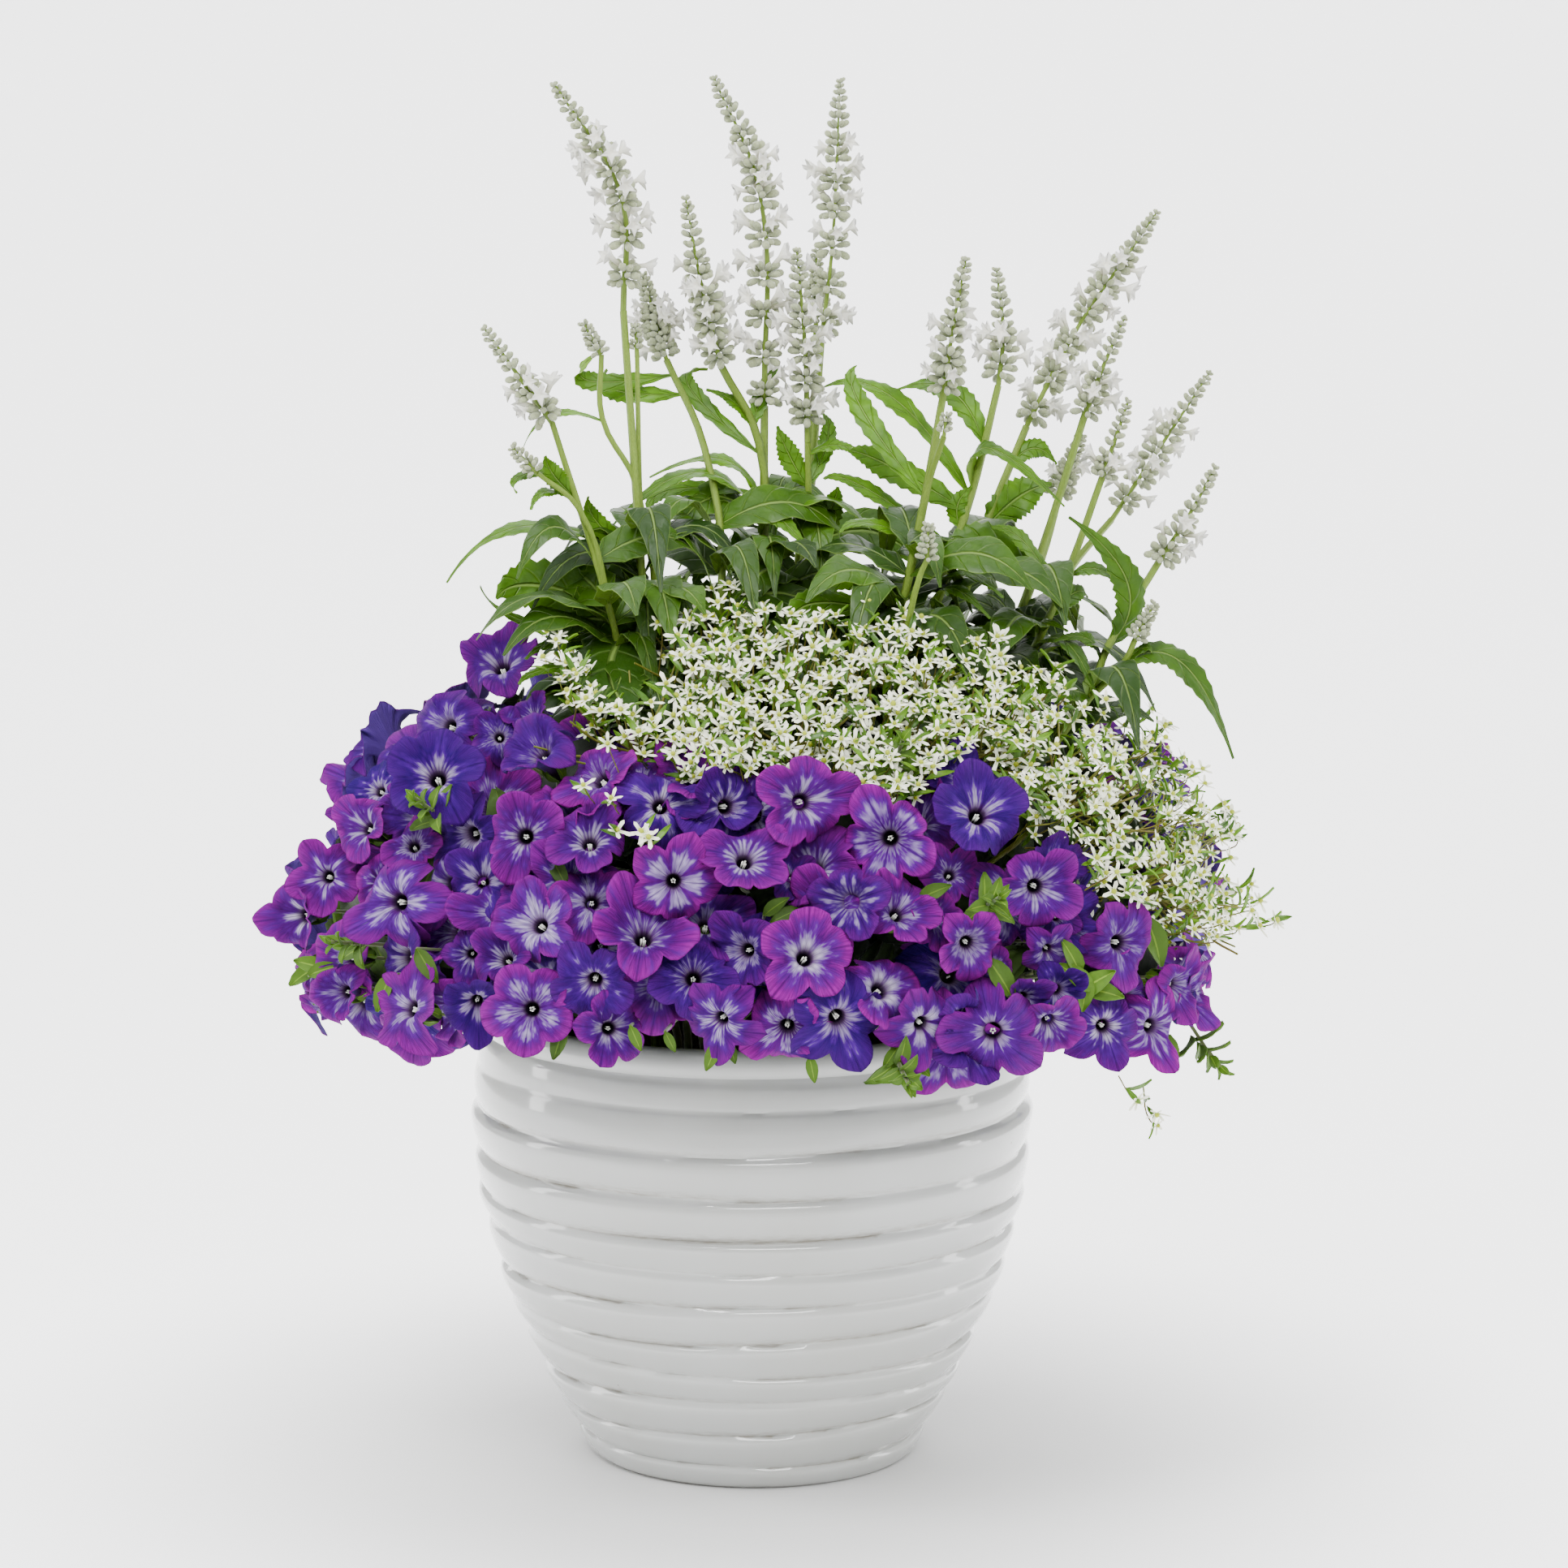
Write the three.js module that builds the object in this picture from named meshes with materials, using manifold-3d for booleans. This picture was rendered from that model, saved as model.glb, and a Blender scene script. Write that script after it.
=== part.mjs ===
// A planted patio pot: violet petunias round the sides, a white euphorbia froth in the
// middle and on the right, and tall white salvia spikes above, in a ribbed glazed pot.
// Millimetres, +Z up. The origin is the middle of the pot's foot, on the surface it stands on.
import * as THREE from 'three';
import { mergeVertices } from 'three/addons/utils/BufferGeometryUtils.js';
import Module from 'manifold-3d';

const wasm = await Module();
wasm.setup();

// ---- Driving dimensions -------------------------------------------------------------

// The pot. Its outline gives the radius of the ribs' crests at a height.
const POT_OUTLINE = [
  [0, 104], [11, 108], [50, 129], [111, 156.5], [168, 171.5], [220, 176], [269, 169.5],
];
const POT_GROOVES = [17, 38.3, 58.7, 81, 104, 125, 148.5, 172, 197, 223, 248.6];
const GROOVE_DEPTH = 3.4;
const CREST_SHARE = 0.62;
const RIM_GROOVE = 269;
const RIM_TOP = 287;
const POT_WALL = 12;
const POT_FLOOR = 15;
const POT_SIDES = 26;
const DRAIN_RADIUS = 7;
const DRAIN_CIRCLE = 55;
const SOIL_TOP = 265;

// The clear gap between two pieces that lie against each other.
const CLEARANCE = 0.35;

// The mound of petunias and euphorbia: half an egg round the pot's mouth.
const MOUND_MIDDLE = 310;
const MOUND_WIDE = 297;
const MOUND_DEEP = 265;
const MOUND_UP = 230;
const MOUND_DOWN = 110;

// Petunias.
const LOBES = 5;
const NOTCH_SHARE = 0.84;
const THROAT_SHARE = 0.48;
const TUBE_SHARE = 0.28;
const TUBE_START_SHARE = 0.66;
const TAIL_SPACING = 7;
const SPRAY_STEM = 2.6;
const BRANCHING_SHARE = 0.7;
const BACK_BLOOM_RADIUS = 31;
const SHOOT_STANDS_PROUD = 26;

// Euphorbia.
const FLORET_SPACING = 26;
const FLORET_RINGS = 2;
const FLORET_RISE = 4;
const FLORET_PIT = -6;
const PATCH_REACH = 62;
const PATCH_SAG = 14;
const PATCH_HEART = 54;
const TUFT_STEM = 2.4;

// Salvia.
const SALVIA_STEM = 2.7;
const FORK_SPACING = 11;
const SPIKE_CORE = 3.2;
const WHORL_SPACING = 24;
const BUD_OVERLAP = 3;

// The width of every leaf where it leaves its stem.
const LEAF_STALK = 2;

// The roots of the plants, as distances from the pot's axis.
const ROOT_BOTTOM = 232;
const SOIL_CLEAR = 284;
const OUTER_ROOTS = 137;
const INNER_ROOTS = 112;
const SHOOT_ROOTS = 124;
const TUFT_ROOTS = 72;

// The photograph's eye, for the plants that are placed by where they show in its frame of
// 1932 by 1932 pixels: a column and a row are a line of sight from here.
const EYE = new THREE.Vector3(20, -3030, 885);
const EYE_PITCH = THREE.MathUtils.degToRad(8.7);
const FOCAL_PIXELS = 6093;
const FRAME_MIDDLE = 966;

// ---- Where the plants stand ---------------------------------------------------------

// Each spray is one stem with its blooms. A bloom is [column, row, radius in pixels,
// millimetres proud of the mound, lean to the right, lean upwards].
const FRONT_SPRAYS = [
  [[615, 815, 50, 0, -0.5, 0.3], [545, 890, 48, -2, -0.3, 0.3], [605, 890, 32, -12, 0, 0.2],
    [645, 862, 28, -12, 0, 0.3]],
  [[553, 970, 57, 14, 0, 0], [667, 932, 52, 5, 0.1, 0.1], [490, 915, 36, -10, -0.2, 0.3],
    [455, 965, 34, -6, -0.5, 0], [430, 985, 30, -4, -0.6, 0.1]],
  [[450, 1020, 42, 2, -0.6, 0.1], [500, 1035, 36, -6, -0.3, -0.1], [450, 1080, 32, -12, 0, 0],
    [400, 1080, 42, 0, -0.4, 0.1], [368, 1130, 43, 0, -0.6, 0]],
  [[415, 1180, 44, -6, -0.1, -0.2], [428, 1222, 40, 4, -0.2, -0.6], [375, 1198, 28, -4, -0.5, -0.2],
    [380, 1252, 24, -8, -0.4, -0.6]],
  [[506, 1118, 57, 14, 0, 0], [582, 1078, 42, -10, 0.1, 0], [650, 1035, 52, 5, 0, 0.1],
    [572, 1176, 32, -8, -0.2, 0]],
  [[510, 1238, 52, 8, -0.1, -0.2], [585, 1238, 40, -2, -0.2, -0.2], [660, 1242, 52, 8, -0.1, -0.2],
    [622, 1180, 38, 0, -0.1, 0]],
  [[735, 955, 54, 0, 0, 0.1], [788, 952, 36, -8, 0.1, 0.2], [817, 996, 50, 6, 0, 0.1],
    [728, 1036, 48, 2, -0.4, 0.3]],
  [[668, 1140, 50, 8, -0.3, 0], [640, 1108, 42, -8, -0.2, 0.1], [728, 1108, 47, -4, 0, 0.2],
    [796, 1150, 58, 4, 0, 0]],
  [[735, 1212, 48, 6, -0.1, -0.1], [752, 1268, 44, -2, -0.1, -0.3], [855, 1203, 50, 4, 0, 0],
    [885, 1256, 45, 10, 0, -0.2]],
  [[900, 995, 50, 0, 0, 0.1], [990, 996, 56, 8, 0, 0.1], [920, 1062, 53, 9, 0, 0],
    [834, 1094, 50, 10, 0, 0], [976, 1070, 30, -12, 0, 0]],
  [[915, 1172, 46, -4, -0.3, -0.1], [992, 1178, 54, 12, -0.1, 0], [1046, 1112, 48, 0, 0, 0.1],
    [968, 1270, 50, 2, -0.1, -0.2], [1032, 1256, 55, 9, 0.1, -0.1], [1088, 1216, 53, 2, 0, 0]],
  [[1092, 1038, 55, 4, 0, 0.1], [1196, 1014, 57, 14, 0, 0.1], [1197, 950, 44, -8, 0, 0.4],
    [1180, 1068, 34, -12, 0, 0], [1110, 1122, 44, -2, 0, 0]],
  [[1158, 1130, 34, -8, -0.1, 0.1], [1190, 1165, 44, 4, 0, 0.1], [1240, 1190, 26, -14, 0, 0],
    [1133, 1262, 46, 8, 0, -0.1], [1212, 1270, 59, 12, 0, -0.1]],
  [[1270, 1098, 50, 6, 0.3, 0.1], [1305, 1068, 44, -6, 0.5, 0.2], [1298, 1172, 32, -4, 0.5, 0],
    [1318, 1126, 28, -10, 0.4, 0], [1262, 1232, 34, 0, 0.1, 0], [1290, 1262, 42, 2, 0.2, -0.3],
    [1308, 1222, 36, -4, 0.4, 0]],
  [[1377, 1163, 50, 4, 0.1, 0], [1362, 1266, 44, 0, -0.1, -0.4], [1415, 1262, 48, 6, 0.1, -0.4],
    [1448, 1216, 42, 2, 0.6, 0], [1476, 1226, 42, -4, 0.7, 0]],
];

// The petunias go on round the back, in three rows, one spray to each part of the turn.
const BACK_SPRAYS = 5;
const BACK_TURN = [6, 174];
const BACK_ROWS = [
  { height: 300, blooms: 3 }, { height: 360, blooms: 2 }, { height: 420, blooms: 2 },
];

// Green shoots between and under the blooms: [column, row, lean to the right, lean upwards].
const SHOOTS = [
  [545, 1008, -0.4, 0.3], [455, 1165, -0.8, 0.1], [1212, 1125, 0.1, 0.4],
  [1470, 1288, 0.8, -0.3], [1108, 1312, 0.1, -0.8], [1105, 950, 0, 0.8],
];

// Patches of the euphorbia froth, joined in tufts: [column, row] of each patch's middle.
const FRONT_TUFTS = [
  [[772, 885]], [[880, 792]], [[985, 882]], [[1092, 790]], [[1195, 888]], [[1345, 955]],
  [[1462, 1075], [1535, 1090]], [[1235, 800]],
];
const EUPHORBIA_STANDS_PROUD = 16;
// One more tuft at the back: [turn round the axis in degrees, height].
const BACK_TUFT = [[74, 484], [112, 488]];

// A plant of salvia has a foot in the soil, a crown where its stems part, and stems with
// spikes. Points are [column, row, distance behind the axis]. A spike runs along `spike`,
// from its tip down, and its stem goes on through `stem` to the crown.
const PLANTS = [
  {
    name: 'left', foot: [-58, -38], crown: 400,
    stems: [
      { broad: 15, spike: [[684, 105, -60], [765, 240, -50], [768, 383, -40]], stem: [[790, 700, -60]] },
      { broad: 14, spike: [[597, 405, -90], [638, 462, -90], [680, 520, -85]], stem: [[752, 755, -80]] },
      { broad: 9, spike: [[792, 340, 10], [821, 443, 0]], stem: [[868, 552, -10], [888, 743, -40]] },
      { broad: 7, spike: [[720, 400, -60], [741, 437, -60]], stem: [[742, 515, -60], [785, 600, -55]] },
      { broad: 7, spike: [[632, 552, -100], [662, 583, -100]], stem: [[712, 625, -90], [752, 755, -80]] },
    ],
    buds: [{ broad: 5, spike: [[783, 402, -40], [785, 440, -40]], stem: [[788, 600, -50]] }],
  },
  {
    name: 'middle', foot: [4, 30], crown: 420,
    stems: [
      { broad: 16, spike: [[880, 97, 20], [935, 230, 20], [942, 500, 10]], stem: [[940, 710, 0]] },
      { broad: 15, spike: [[1035, 100, 70], [1025, 310, 60], [1012, 420, 55]], stem: [[990, 690, 40]] },
      { broad: 15, spike: [[845, 245, -20], [862, 340, -20], [888, 450, -10]],
        stem: [[935, 545, 0], [940, 710, 0]] },
      { broad: 16, spike: [[982, 310, 0], [992, 430, 0], [995, 545, 0]], stem: [[994, 679, 10]] },
    ],
    buds: [{ broad: 6, spike: [[1006, 310, 100], [1006, 380, 98]], stem: [[1000, 520, 80]] }],
  },
  {
    name: 'front', foot: [62, -28], crown: 400,
    stems: [
      { broad: 16, spike: [[1190, 320, -60], [1175, 400, -55], [1163, 482, -50]],
        stem: [[1133, 647, -45]] },
      { broad: 15, spike: [[1228, 333, 20], [1236, 410, 15], [1230, 475, 10]], stem: [[1197, 609, 0]] },
      { broad: 7, spike: [[1144, 648, -110], [1142, 690, -108]],
        stem: [[1133, 711, -105], [1114, 794, -90]] },
    ],
    buds: [{ broad: 6, spike: [[1166, 512, -70], [1163, 538, -68]], stem: [[1143, 600, -50]] }],
  },
  {
    name: 'right', foot: [96, 46], crown: 400,
    stems: [
      { broad: 15, spike: [[1425, 262, 110], [1385, 320, 100], [1330, 400, 90], [1265, 525, 70]],
        stem: [[1215, 650, 55]] },
      { broad: 14, spike: [[1385, 393, 40], [1360, 450, 40], [1338, 507, 40]],
        stem: [[1283, 679, 35], [1248, 775, 25]] },
      { broad: 12, spike: [[1490, 460, 130], [1430, 550, 120], [1370, 640, 110]],
        stem: [[1320, 700, 90], [1290, 760, 70]] },
      { broad: 13, spike: [[1390, 495, 0], [1358, 588, 0]], stem: [[1318, 699, 0], [1267, 813, 0]] },
      { broad: 15, spike: [[1497, 577, -20], [1462, 640, -20], [1428, 692, -20]],
        stem: [[1363, 801, -20], [1340, 862, -20]] },
      { broad: 10, spike: [[1332, 538, 70], [1308, 600, 65]], stem: [[1283, 690, 50]] },
      { broad: 7, spike: [[1422, 745, -40], [1400, 785, -40]],
        stem: [[1384, 818, -35], [1340, 862, -20]] },
    ],
    buds: [],
  },
];

// Leaves of each plant: [base, middle and tip as column and row, width in pixels,
// millimetres that the tip comes forward, how far the blade faces the eye from 0 to 1].
const LEAVES = {
  left: [
    [731, 692, 648, 648, 550, 718, 26, 20, 0.3], [728, 765, 668, 722, 612, 738, 62, 30, 0.9],
    [735, 780, 655, 768, 592, 722, 14, 40, 0.5], [770, 778, 745, 830, 795, 896, 84, 55, 0.8],
    [752, 772, 696, 786, 648, 812, 16, 45, 0.5], [705, 805, 675, 824, 640, 843, 15, 60, 0.5],
    [752, 772, 728, 745, 712, 722, 40, 25, 0.9], [768, 770, 786, 738, 808, 728, 15, 30, 0.6],
    [742, 515, 682, 510, 645, 550, 14, -10, 0.3], [742, 500, 722, 468, 742, 430, 22, 10, 0.9],
    [785, 510, 756, 480, 748, 455, 24, -20, 0.9], [705, 605, 682, 585, 672, 562, 24, 20, 0.9],
    [708, 608, 672, 606, 654, 628, 16, 20, 0.4], [662, 585, 640, 587, 637, 608, 12, 5, 0.6],
    [755, 690, 737, 645, 725, 612, 22, 20, 0.9], [785, 745, 768, 700, 782, 655, 34, 10, 0.9],
  ],
  middle: [
    [938, 640, 858, 582, 752, 650, 28, 40, 0.35], [946, 622, 890, 566, 800, 588, 24, 0, 0.3],
    [885, 652, 848, 634, 798, 652, 18, 30, 0.4], [892, 662, 955, 636, 1002, 686, 26, 40, 0.4],
    [870, 610, 826, 604, 800, 640, 22, 20, 0.5], [884, 735, 845, 750, 852, 702, 72, 10, 1],
    [890, 700, 882, 690, 853, 728, 30, 10, 0.9], [940, 710, 918, 690, 905, 652, 38, -10, 0.9],
    [925, 520, 903, 494, 870, 480, 15, 0, 0.5], [992, 600, 972, 560, 958, 525, 26, 10, 0.9],
    [1000, 600, 1020, 540, 1012, 508, 20, -20, 0.9], [992, 690, 1022, 632, 1032, 600, 30, 10, 0.9],
    [998, 560, 1030, 548, 1062, 562, 18, 10, 0.5], [940, 520, 942, 480, 960, 450, 20, -30, 0.9],
    [890, 560, 850, 478, 872, 455, 20, -30, 0.8],
  ],
  front: [
    [1143, 594, 1100, 490, 1012, 478, 30, -10, 0.4], [1198, 545, 1172, 482, 1105, 480, 30, -20, 0.7],
    [1150, 594, 1218, 552, 1312, 624, 30, 20, 0.35], [1140, 612, 1092, 572, 1045, 556, 34, 20, 0.8],
    [1185, 650, 1180, 622, 1197, 600, 24, 0, 1], [1110, 655, 1068, 602, 1015, 590, 22, 20, 0.5],
    [1125, 672, 1080, 646, 1035, 656, 22, 40, 0.4], [1140, 722, 1186, 704, 1236, 736, 20, 60, 0.4],
    [1135, 745, 1172, 724, 1220, 762, 22, 50, 0.4], [1125, 718, 1082, 722, 1052, 768, 30, 60, 0.7],
    [1105, 745, 1040, 716, 1000, 778, 26, 50, 0.5], [1105, 800, 1095, 758, 1088, 712, 50, 20, 1],
    [1105, 800, 1066, 772, 1020, 768, 26, 50, 0.6], [1140, 805, 1162, 770, 1150, 738, 34, 20, 0.9],
    [1140, 808, 1186, 826, 1226, 846, 36, 60, 0.8], [1075, 600, 1060, 500, 1055, 450, 26, -20, 0.8],
    [1040, 745, 1000, 744, 978, 788, 34, 50, 0.8], [1130, 790, 1195, 778, 1212, 806, 24, 50, 0.5],
  ],
  right: [
    [1226, 650, 1256, 612, 1296, 596, 44, 0, 0.9], [1240, 560, 1275, 552, 1302, 572, 26, 0, 0.7],
    [1276, 720, 1262, 668, 1222, 650, 24, 20, 0.5], [1248, 705, 1210, 668, 1168, 690, 46, 10, 0.9],
    [1290, 736, 1345, 700, 1411, 748, 22, 20, 0.4], [1364, 796, 1390, 720, 1317, 637, 36, 10, 0.7],
    [1378, 828, 1450, 812, 1520, 935, 36, 20, 0.5], [1262, 800, 1312, 790, 1353, 862, 22, 50, 0.4],
    [1365, 818, 1338, 786, 1298, 790, 18, 10, 0.5], [1372, 830, 1392, 850, 1386, 896, 20, 20, 0.8],
    [1350, 860, 1312, 850, 1288, 866, 34, 40, 0.7], [1288, 760, 1325, 730, 1340, 736, 24, -10, 0.7],
    [1255, 772, 1285, 765, 1316, 778, 12, 30, 0.5], [1252, 820, 1275, 832, 1290, 870, 20, 50, 0.8],
    [1380, 826, 1405, 800, 1420, 805, 14, 10, 0.5], [1236, 740, 1212, 790, 1228, 830, 30, 20, 0.9],
  ],
};
const SHORTEST_BIG_LEAF = 55;
// The side that the photograph doesn't show gets a ring of like leaves round each plant.
const BACK_LEAVES = [
  { turn: 30, height: 470, reach: 74 }, { turn: 75, height: 520, reach: 66 },
  { turn: 118, height: 455, reach: 78 }, { turn: 152, height: 560, reach: 60 },
];
const BACK_LEAF_WIDTH = 24;

// ---- Small tools --------------------------------------------------------------------

const point = (x, y, z) => new THREE.Vector3(x, y, z);
const between = (a, b, share) => a.clone().lerp(b, share);
const UP = point(0, 0, 1);
const TOWARDS_EYE = point(0, -1, 0.15).normalize();

// A repeatable draw from 0 to 1.
let drawState = 20241;
function draw() {
  drawState = (drawState * 1664525 + 1013904223) % 4294967296;
  return drawState / 4294967296;
}

function onAxisAt(turn, distance, height) {
  const angle = THREE.MathUtils.degToRad(turn);
  return point(Math.cos(angle) * distance, Math.sin(angle) * distance, height);
}

function sight(column, row) {
  const across = column - FRAME_MIDDLE;
  const down = row - FRAME_MIDDLE;
  const forward = FOCAL_PIXELS * Math.cos(EYE_PITCH) - down * Math.sin(EYE_PITCH);
  const rise = -FOCAL_PIXELS * Math.sin(EYE_PITCH) - down * Math.cos(EYE_PITCH);
  return point(across, forward, rise);
}

// The point that shows at a column and row and lies a given distance behind the axis.
function seenAt([column, row, behind]) {
  const line = sight(column, row);
  return EYE.clone().addScaledVector(line, (behind - EYE.y) / line.y);
}

function moundSize(height) {
  return height > MOUND_MIDDLE ? MOUND_UP : MOUND_DOWN;
}

// 1 on the mound's skin, less inside it.
function moundLevel(place) {
  const high = (place.z - MOUND_MIDDLE) / moundSize(place.z);
  return Math.hypot(place.x / MOUND_WIDE, place.y / MOUND_DEEP, high);
}

function moundOutward(place) {
  const high = (place.z - MOUND_MIDDLE) / moundSize(place.z) ** 2;
  return point(place.x / MOUND_WIDE ** 2, place.y / MOUND_DEEP ** 2, high).normalize();
}

// Where a line of sight first meets the mound, or comes nearest to it, as a point of its skin.
function onMound(column, row) {
  let best = null;
  for (let behind = -290; behind <= 60; behind += 2) {
    const place = seenAt([column, row, behind]);
    const level = moundLevel(place);
    if (best === null || level < best.level) best = { level, place };
    if (level <= 1) break;
  }
  const middle = point(0, 0, MOUND_MIDDLE);
  return best.place.sub(middle).multiplyScalar(1 / best.level).add(middle);
}

// ---- Solids -------------------------------------------------------------------------
// Each shape is given by how much it is grown: 0 for the piece itself, CLEARANCE for the
// room that it keeps its neighbours out of.

function solidOf(positions, triangles) {
  let volume = 0;
  for (const [a, b, c] of triangles) {
    volume += positions[a].dot(positions[b].clone().cross(positions[c]));
  }
  const outward = volume > 0 ? triangles : triangles.map(([a, b, c]) => [a, c, b]);
  return new wasm.Manifold(new wasm.Mesh({
    numProp: 3,
    vertProperties: new Float32Array(positions.flatMap((place) => place.toArray())),
    triVerts: new Uint32Array(outward.flat()),
  }));
}

// A three.js geometry as a solid, with its seams joined and its flat triangles left out.
function solidOfGeometry(geometry) {
  geometry.deleteAttribute('normal');
  geometry.deleteAttribute('uv');
  const joined = mergeVertices(geometry, 1e-4);
  const places = joined.getAttribute('position');
  const positions = [];
  for (let k = 0; k < places.count; k += 1) {
    positions.push(new THREE.Vector3().fromBufferAttribute(places, k));
  }
  const triangles = [];
  for (let k = 0; k < joined.index.count; k += 3) {
    const [a, b, c] = [0, 1, 2].map((corner) => joined.index.getX(k + corner));
    if (a !== b && b !== c && c !== a) triangles.push([a, b, c]);
  }
  return solidOf(positions, triangles);
}

// A closed skin over rings of equal count. An end comes to a point where one is given, and
// is flat where it is null.
function skin(start, rings, end) {
  const count = rings[0].length;
  const positions = rings.flat();
  const triangles = [];
  for (let k = 0; k < positions.length - count; k += 1) {
    const next = (k + 1) % count === 0 ? k + 1 - count : k + 1;
    triangles.push([k, next, next + count], [k, next + count, k + count]);
  }
  const close = (peak, corners) => {
    const around = corners.map((corner, k) => [corner, corners[(k + 1) % count]]);
    if (peak === null) {
      around.slice(1, -1).forEach(([a, b]) => triangles.push([corners[0], a, b]));
    } else {
      positions.push(peak);
      around.forEach(([a, b]) => triangles.push([positions.length - 1, a, b]));
    }
  };
  const ringOf = (first) => Array.from({ length: count }, (_, k) => first + k);
  const lastRing = positions.length - count;
  close(start, ringOf(0).reverse());
  close(end, ringOf(lastRing));
  return solidOf(positions, triangles);
}

// Two directions square to an axis and to each other.
function squareTo(axis) {
  const helper = Math.abs(axis.z) < 0.9 ? UP : point(1, 0, 0);
  const across = helper.clone().cross(axis).normalize();
  return [across, axis.clone().cross(across)];
}

// A point of a flower: distance and angle in its face, and height along its axis.
function inFace(frame, distance, angle, height) {
  return frame.at.clone()
    .addScaledVector(frame.across, distance * Math.cos(angle))
    .addScaledVector(frame.upward, distance * Math.sin(angle))
    .addScaledVector(frame.axis, height);
}

// A round stem through points, with a straight taper.
function stem(points, startRadius, endRadius, grow, sides = 3) {
  const last = points.length - 1;
  const along = points.map((place, k) => points[Math.min(k + 1, last)].clone()
    .sub(points[Math.max(k - 1, 0)]).normalize());
  let [across] = squareTo(along[0]);
  const rings = points.map((place, k) => {
    across = across.clone().projectOnPlane(along[k]).normalize();
    const upward = along[k].clone().cross(across);
    const radius = THREE.MathUtils.lerp(startRadius, endRadius, k / last) + grow;
    const shift = (k === last ? grow : 0) - (k === 0 ? grow : 0);
    const frame = { at: place, across, upward, axis: along[k] };
    const turn = (side) => (side / sides) * 2 * Math.PI;
    return Array.from({ length: sides }, (_, side) => inFace(frame, radius, turn(side), shift));
  });
  return skin(null, rings, null);
}

// A petunia: five lobes round a throat, its back drawn out into a tube that ends at `tail`.
function bloom(frame, radius, tail, grow) {
  const throat = -THROAT_SHARE * radius;
  const positions = [inFace(frame, 0, 0, throat + grow)];
  const lobeAngle = (2 * Math.PI) / LOBES;
  const wider = 1 + (grow * 6) / radius;
  const rimPoint = (share, angle, height) => inFace(
    frame, radius * share * wider, angle, throat + (height - throat) * wider + grow * 0.8);
  for (let k = 0; k < LOBES; k += 1) {
    positions.push(rimPoint(1, frame.turn + k * lobeAngle, -2));
    positions.push(rimPoint(NOTCH_SHARE, frame.turn + (k + 0.5) * lobeAngle, 1));
  }
  for (let k = 0; k < LOBES; k += 1) {
    const angle = frame.turn + k * lobeAngle;
    positions.push(inFace(frame, TUBE_SHARE * radius + grow, angle, -TUBE_START_SHARE * radius - grow));
  }
  const fromFace = tail.clone().sub(frame.at).normalize();
  positions.push(tail.clone().addScaledVector(fromFace, grow));
  const [rim, back] = [1, 1 + 2 * LOBES];
  const bottom = positions.length - 1;
  const triangles = [];
  for (let k = 0; k < LOBES; k += 1) {
    const next = (k + 1) % LOBES;
    const before = (2 * k + 2 * LOBES - 1) % (2 * LOBES);
    const [tip, notch, lastNotch] = [rim + 2 * k, rim + 2 * k + 1, rim + before];
    triangles.push([0, lastNotch, tip], [0, tip, notch]);
    triangles.push([bottom, back + next, back + k]);
    triangles.push([back + k, tip, lastNotch], [back + k, notch, tip]);
    triangles.push([back + k, back + next, notch]);
  }
  return solidOf(positions, triangles);
}

// A leaf from its base over a middle to its tip, thick at the rib and thin at the edges.
function blade(places, width, facing, stations, grow) {
  const path = new THREE.QuadraticBezierCurve3(
    places[0],
    places[1].clone().multiplyScalar(2).sub(between(places[0], places[2], 0.5)),
    places[2],
  );
  const hint = between(UP, TOWARDS_EYE, facing).normalize();
  const level = path.getTangent(0.5).cross(hint);
  const rings = [];
  for (let k = 0; k <= stations; k += 1) {
    const share = k / (stations + 1);
    const along = path.getTangent(share);
    const across = level.clone().projectOnPlane(along).normalize();
    const lift = across.clone().cross(along);
    const tooth = k % 2 === 0 ? 0.8 : 1;
    const profile = Math.sin(Math.PI * share ** 0.8) * tooth;
    const half = Math.max((width / 2) * profile, LEAF_STALK / 2);
    const middle = path.getPoint(share);
    const edge = (side) => middle.clone().addScaledVector(across, side * (half + grow * 6))
      .addScaledVector(lift, half * 0.12 + grow * 0.8);
    const rib = middle.clone().addScaledVector(lift, -1.1 - grow * 2);
    rings.push([edge(-1), edge(1), rib]);
  }
  const lastStation = path.getPoint(stations / (stations + 1));
  const tip = between(places[2], lastStation, -grow * 0.15);
  return skin(null, rings, tip);
}

// A flower spike from its foot to its tip, in whorls.
function spike(places, broad, grow) {
  const path = new THREE.CatmullRomCurve3(places);
  const whorls = Math.max(2, Math.round(path.getLength() / WHORL_SPACING));
  const rings = [];
  const ringAt = (share, inner, outer, turn) => {
    const axis = path.getTangentAt(share);
    const [across, upward] = squareTo(axis);
    const frame = { at: path.getPointAt(share), axis, across, upward };
    return Array.from({ length: 6 }, (_, k) => {
      const distance = (k % 2 === 0 ? outer : inner) + grow;
      return inFace(frame, distance, turn + (k * Math.PI) / 3, 0);
    });
  };
  rings.push(ringAt(0.4 / path.getLength(), SPIKE_CORE, SPIKE_CORE, 0));
  for (let k = 0; k < whorls; k += 1) {
    const share = (k + 0.5) / whorls;
    const outer = THREE.MathUtils.lerp(broad, broad * 0.34, share ** 1.3);
    rings.push(ringAt(share, outer * 0.55, outer, k * 0.5));
    if (k < whorls - 1) rings.push(ringAt((k + 1) / whorls, outer * 0.3, outer * 0.3, k * 0.5));
  }
  const foot = inFace({ at: path.getPointAt(0.4 / path.getLength()), across: UP, upward: UP,
    axis: path.getTangentAt(0) }, 0, 0, -grow);
  const tip = path.getPointAt(1).addScaledVector(path.getTangentAt(1), grow);
  return skin(foot, rings, tip);
}

// ---- Nodes --------------------------------------------------------------------------

const planting = new THREE.Group();
const placed = [];

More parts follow.
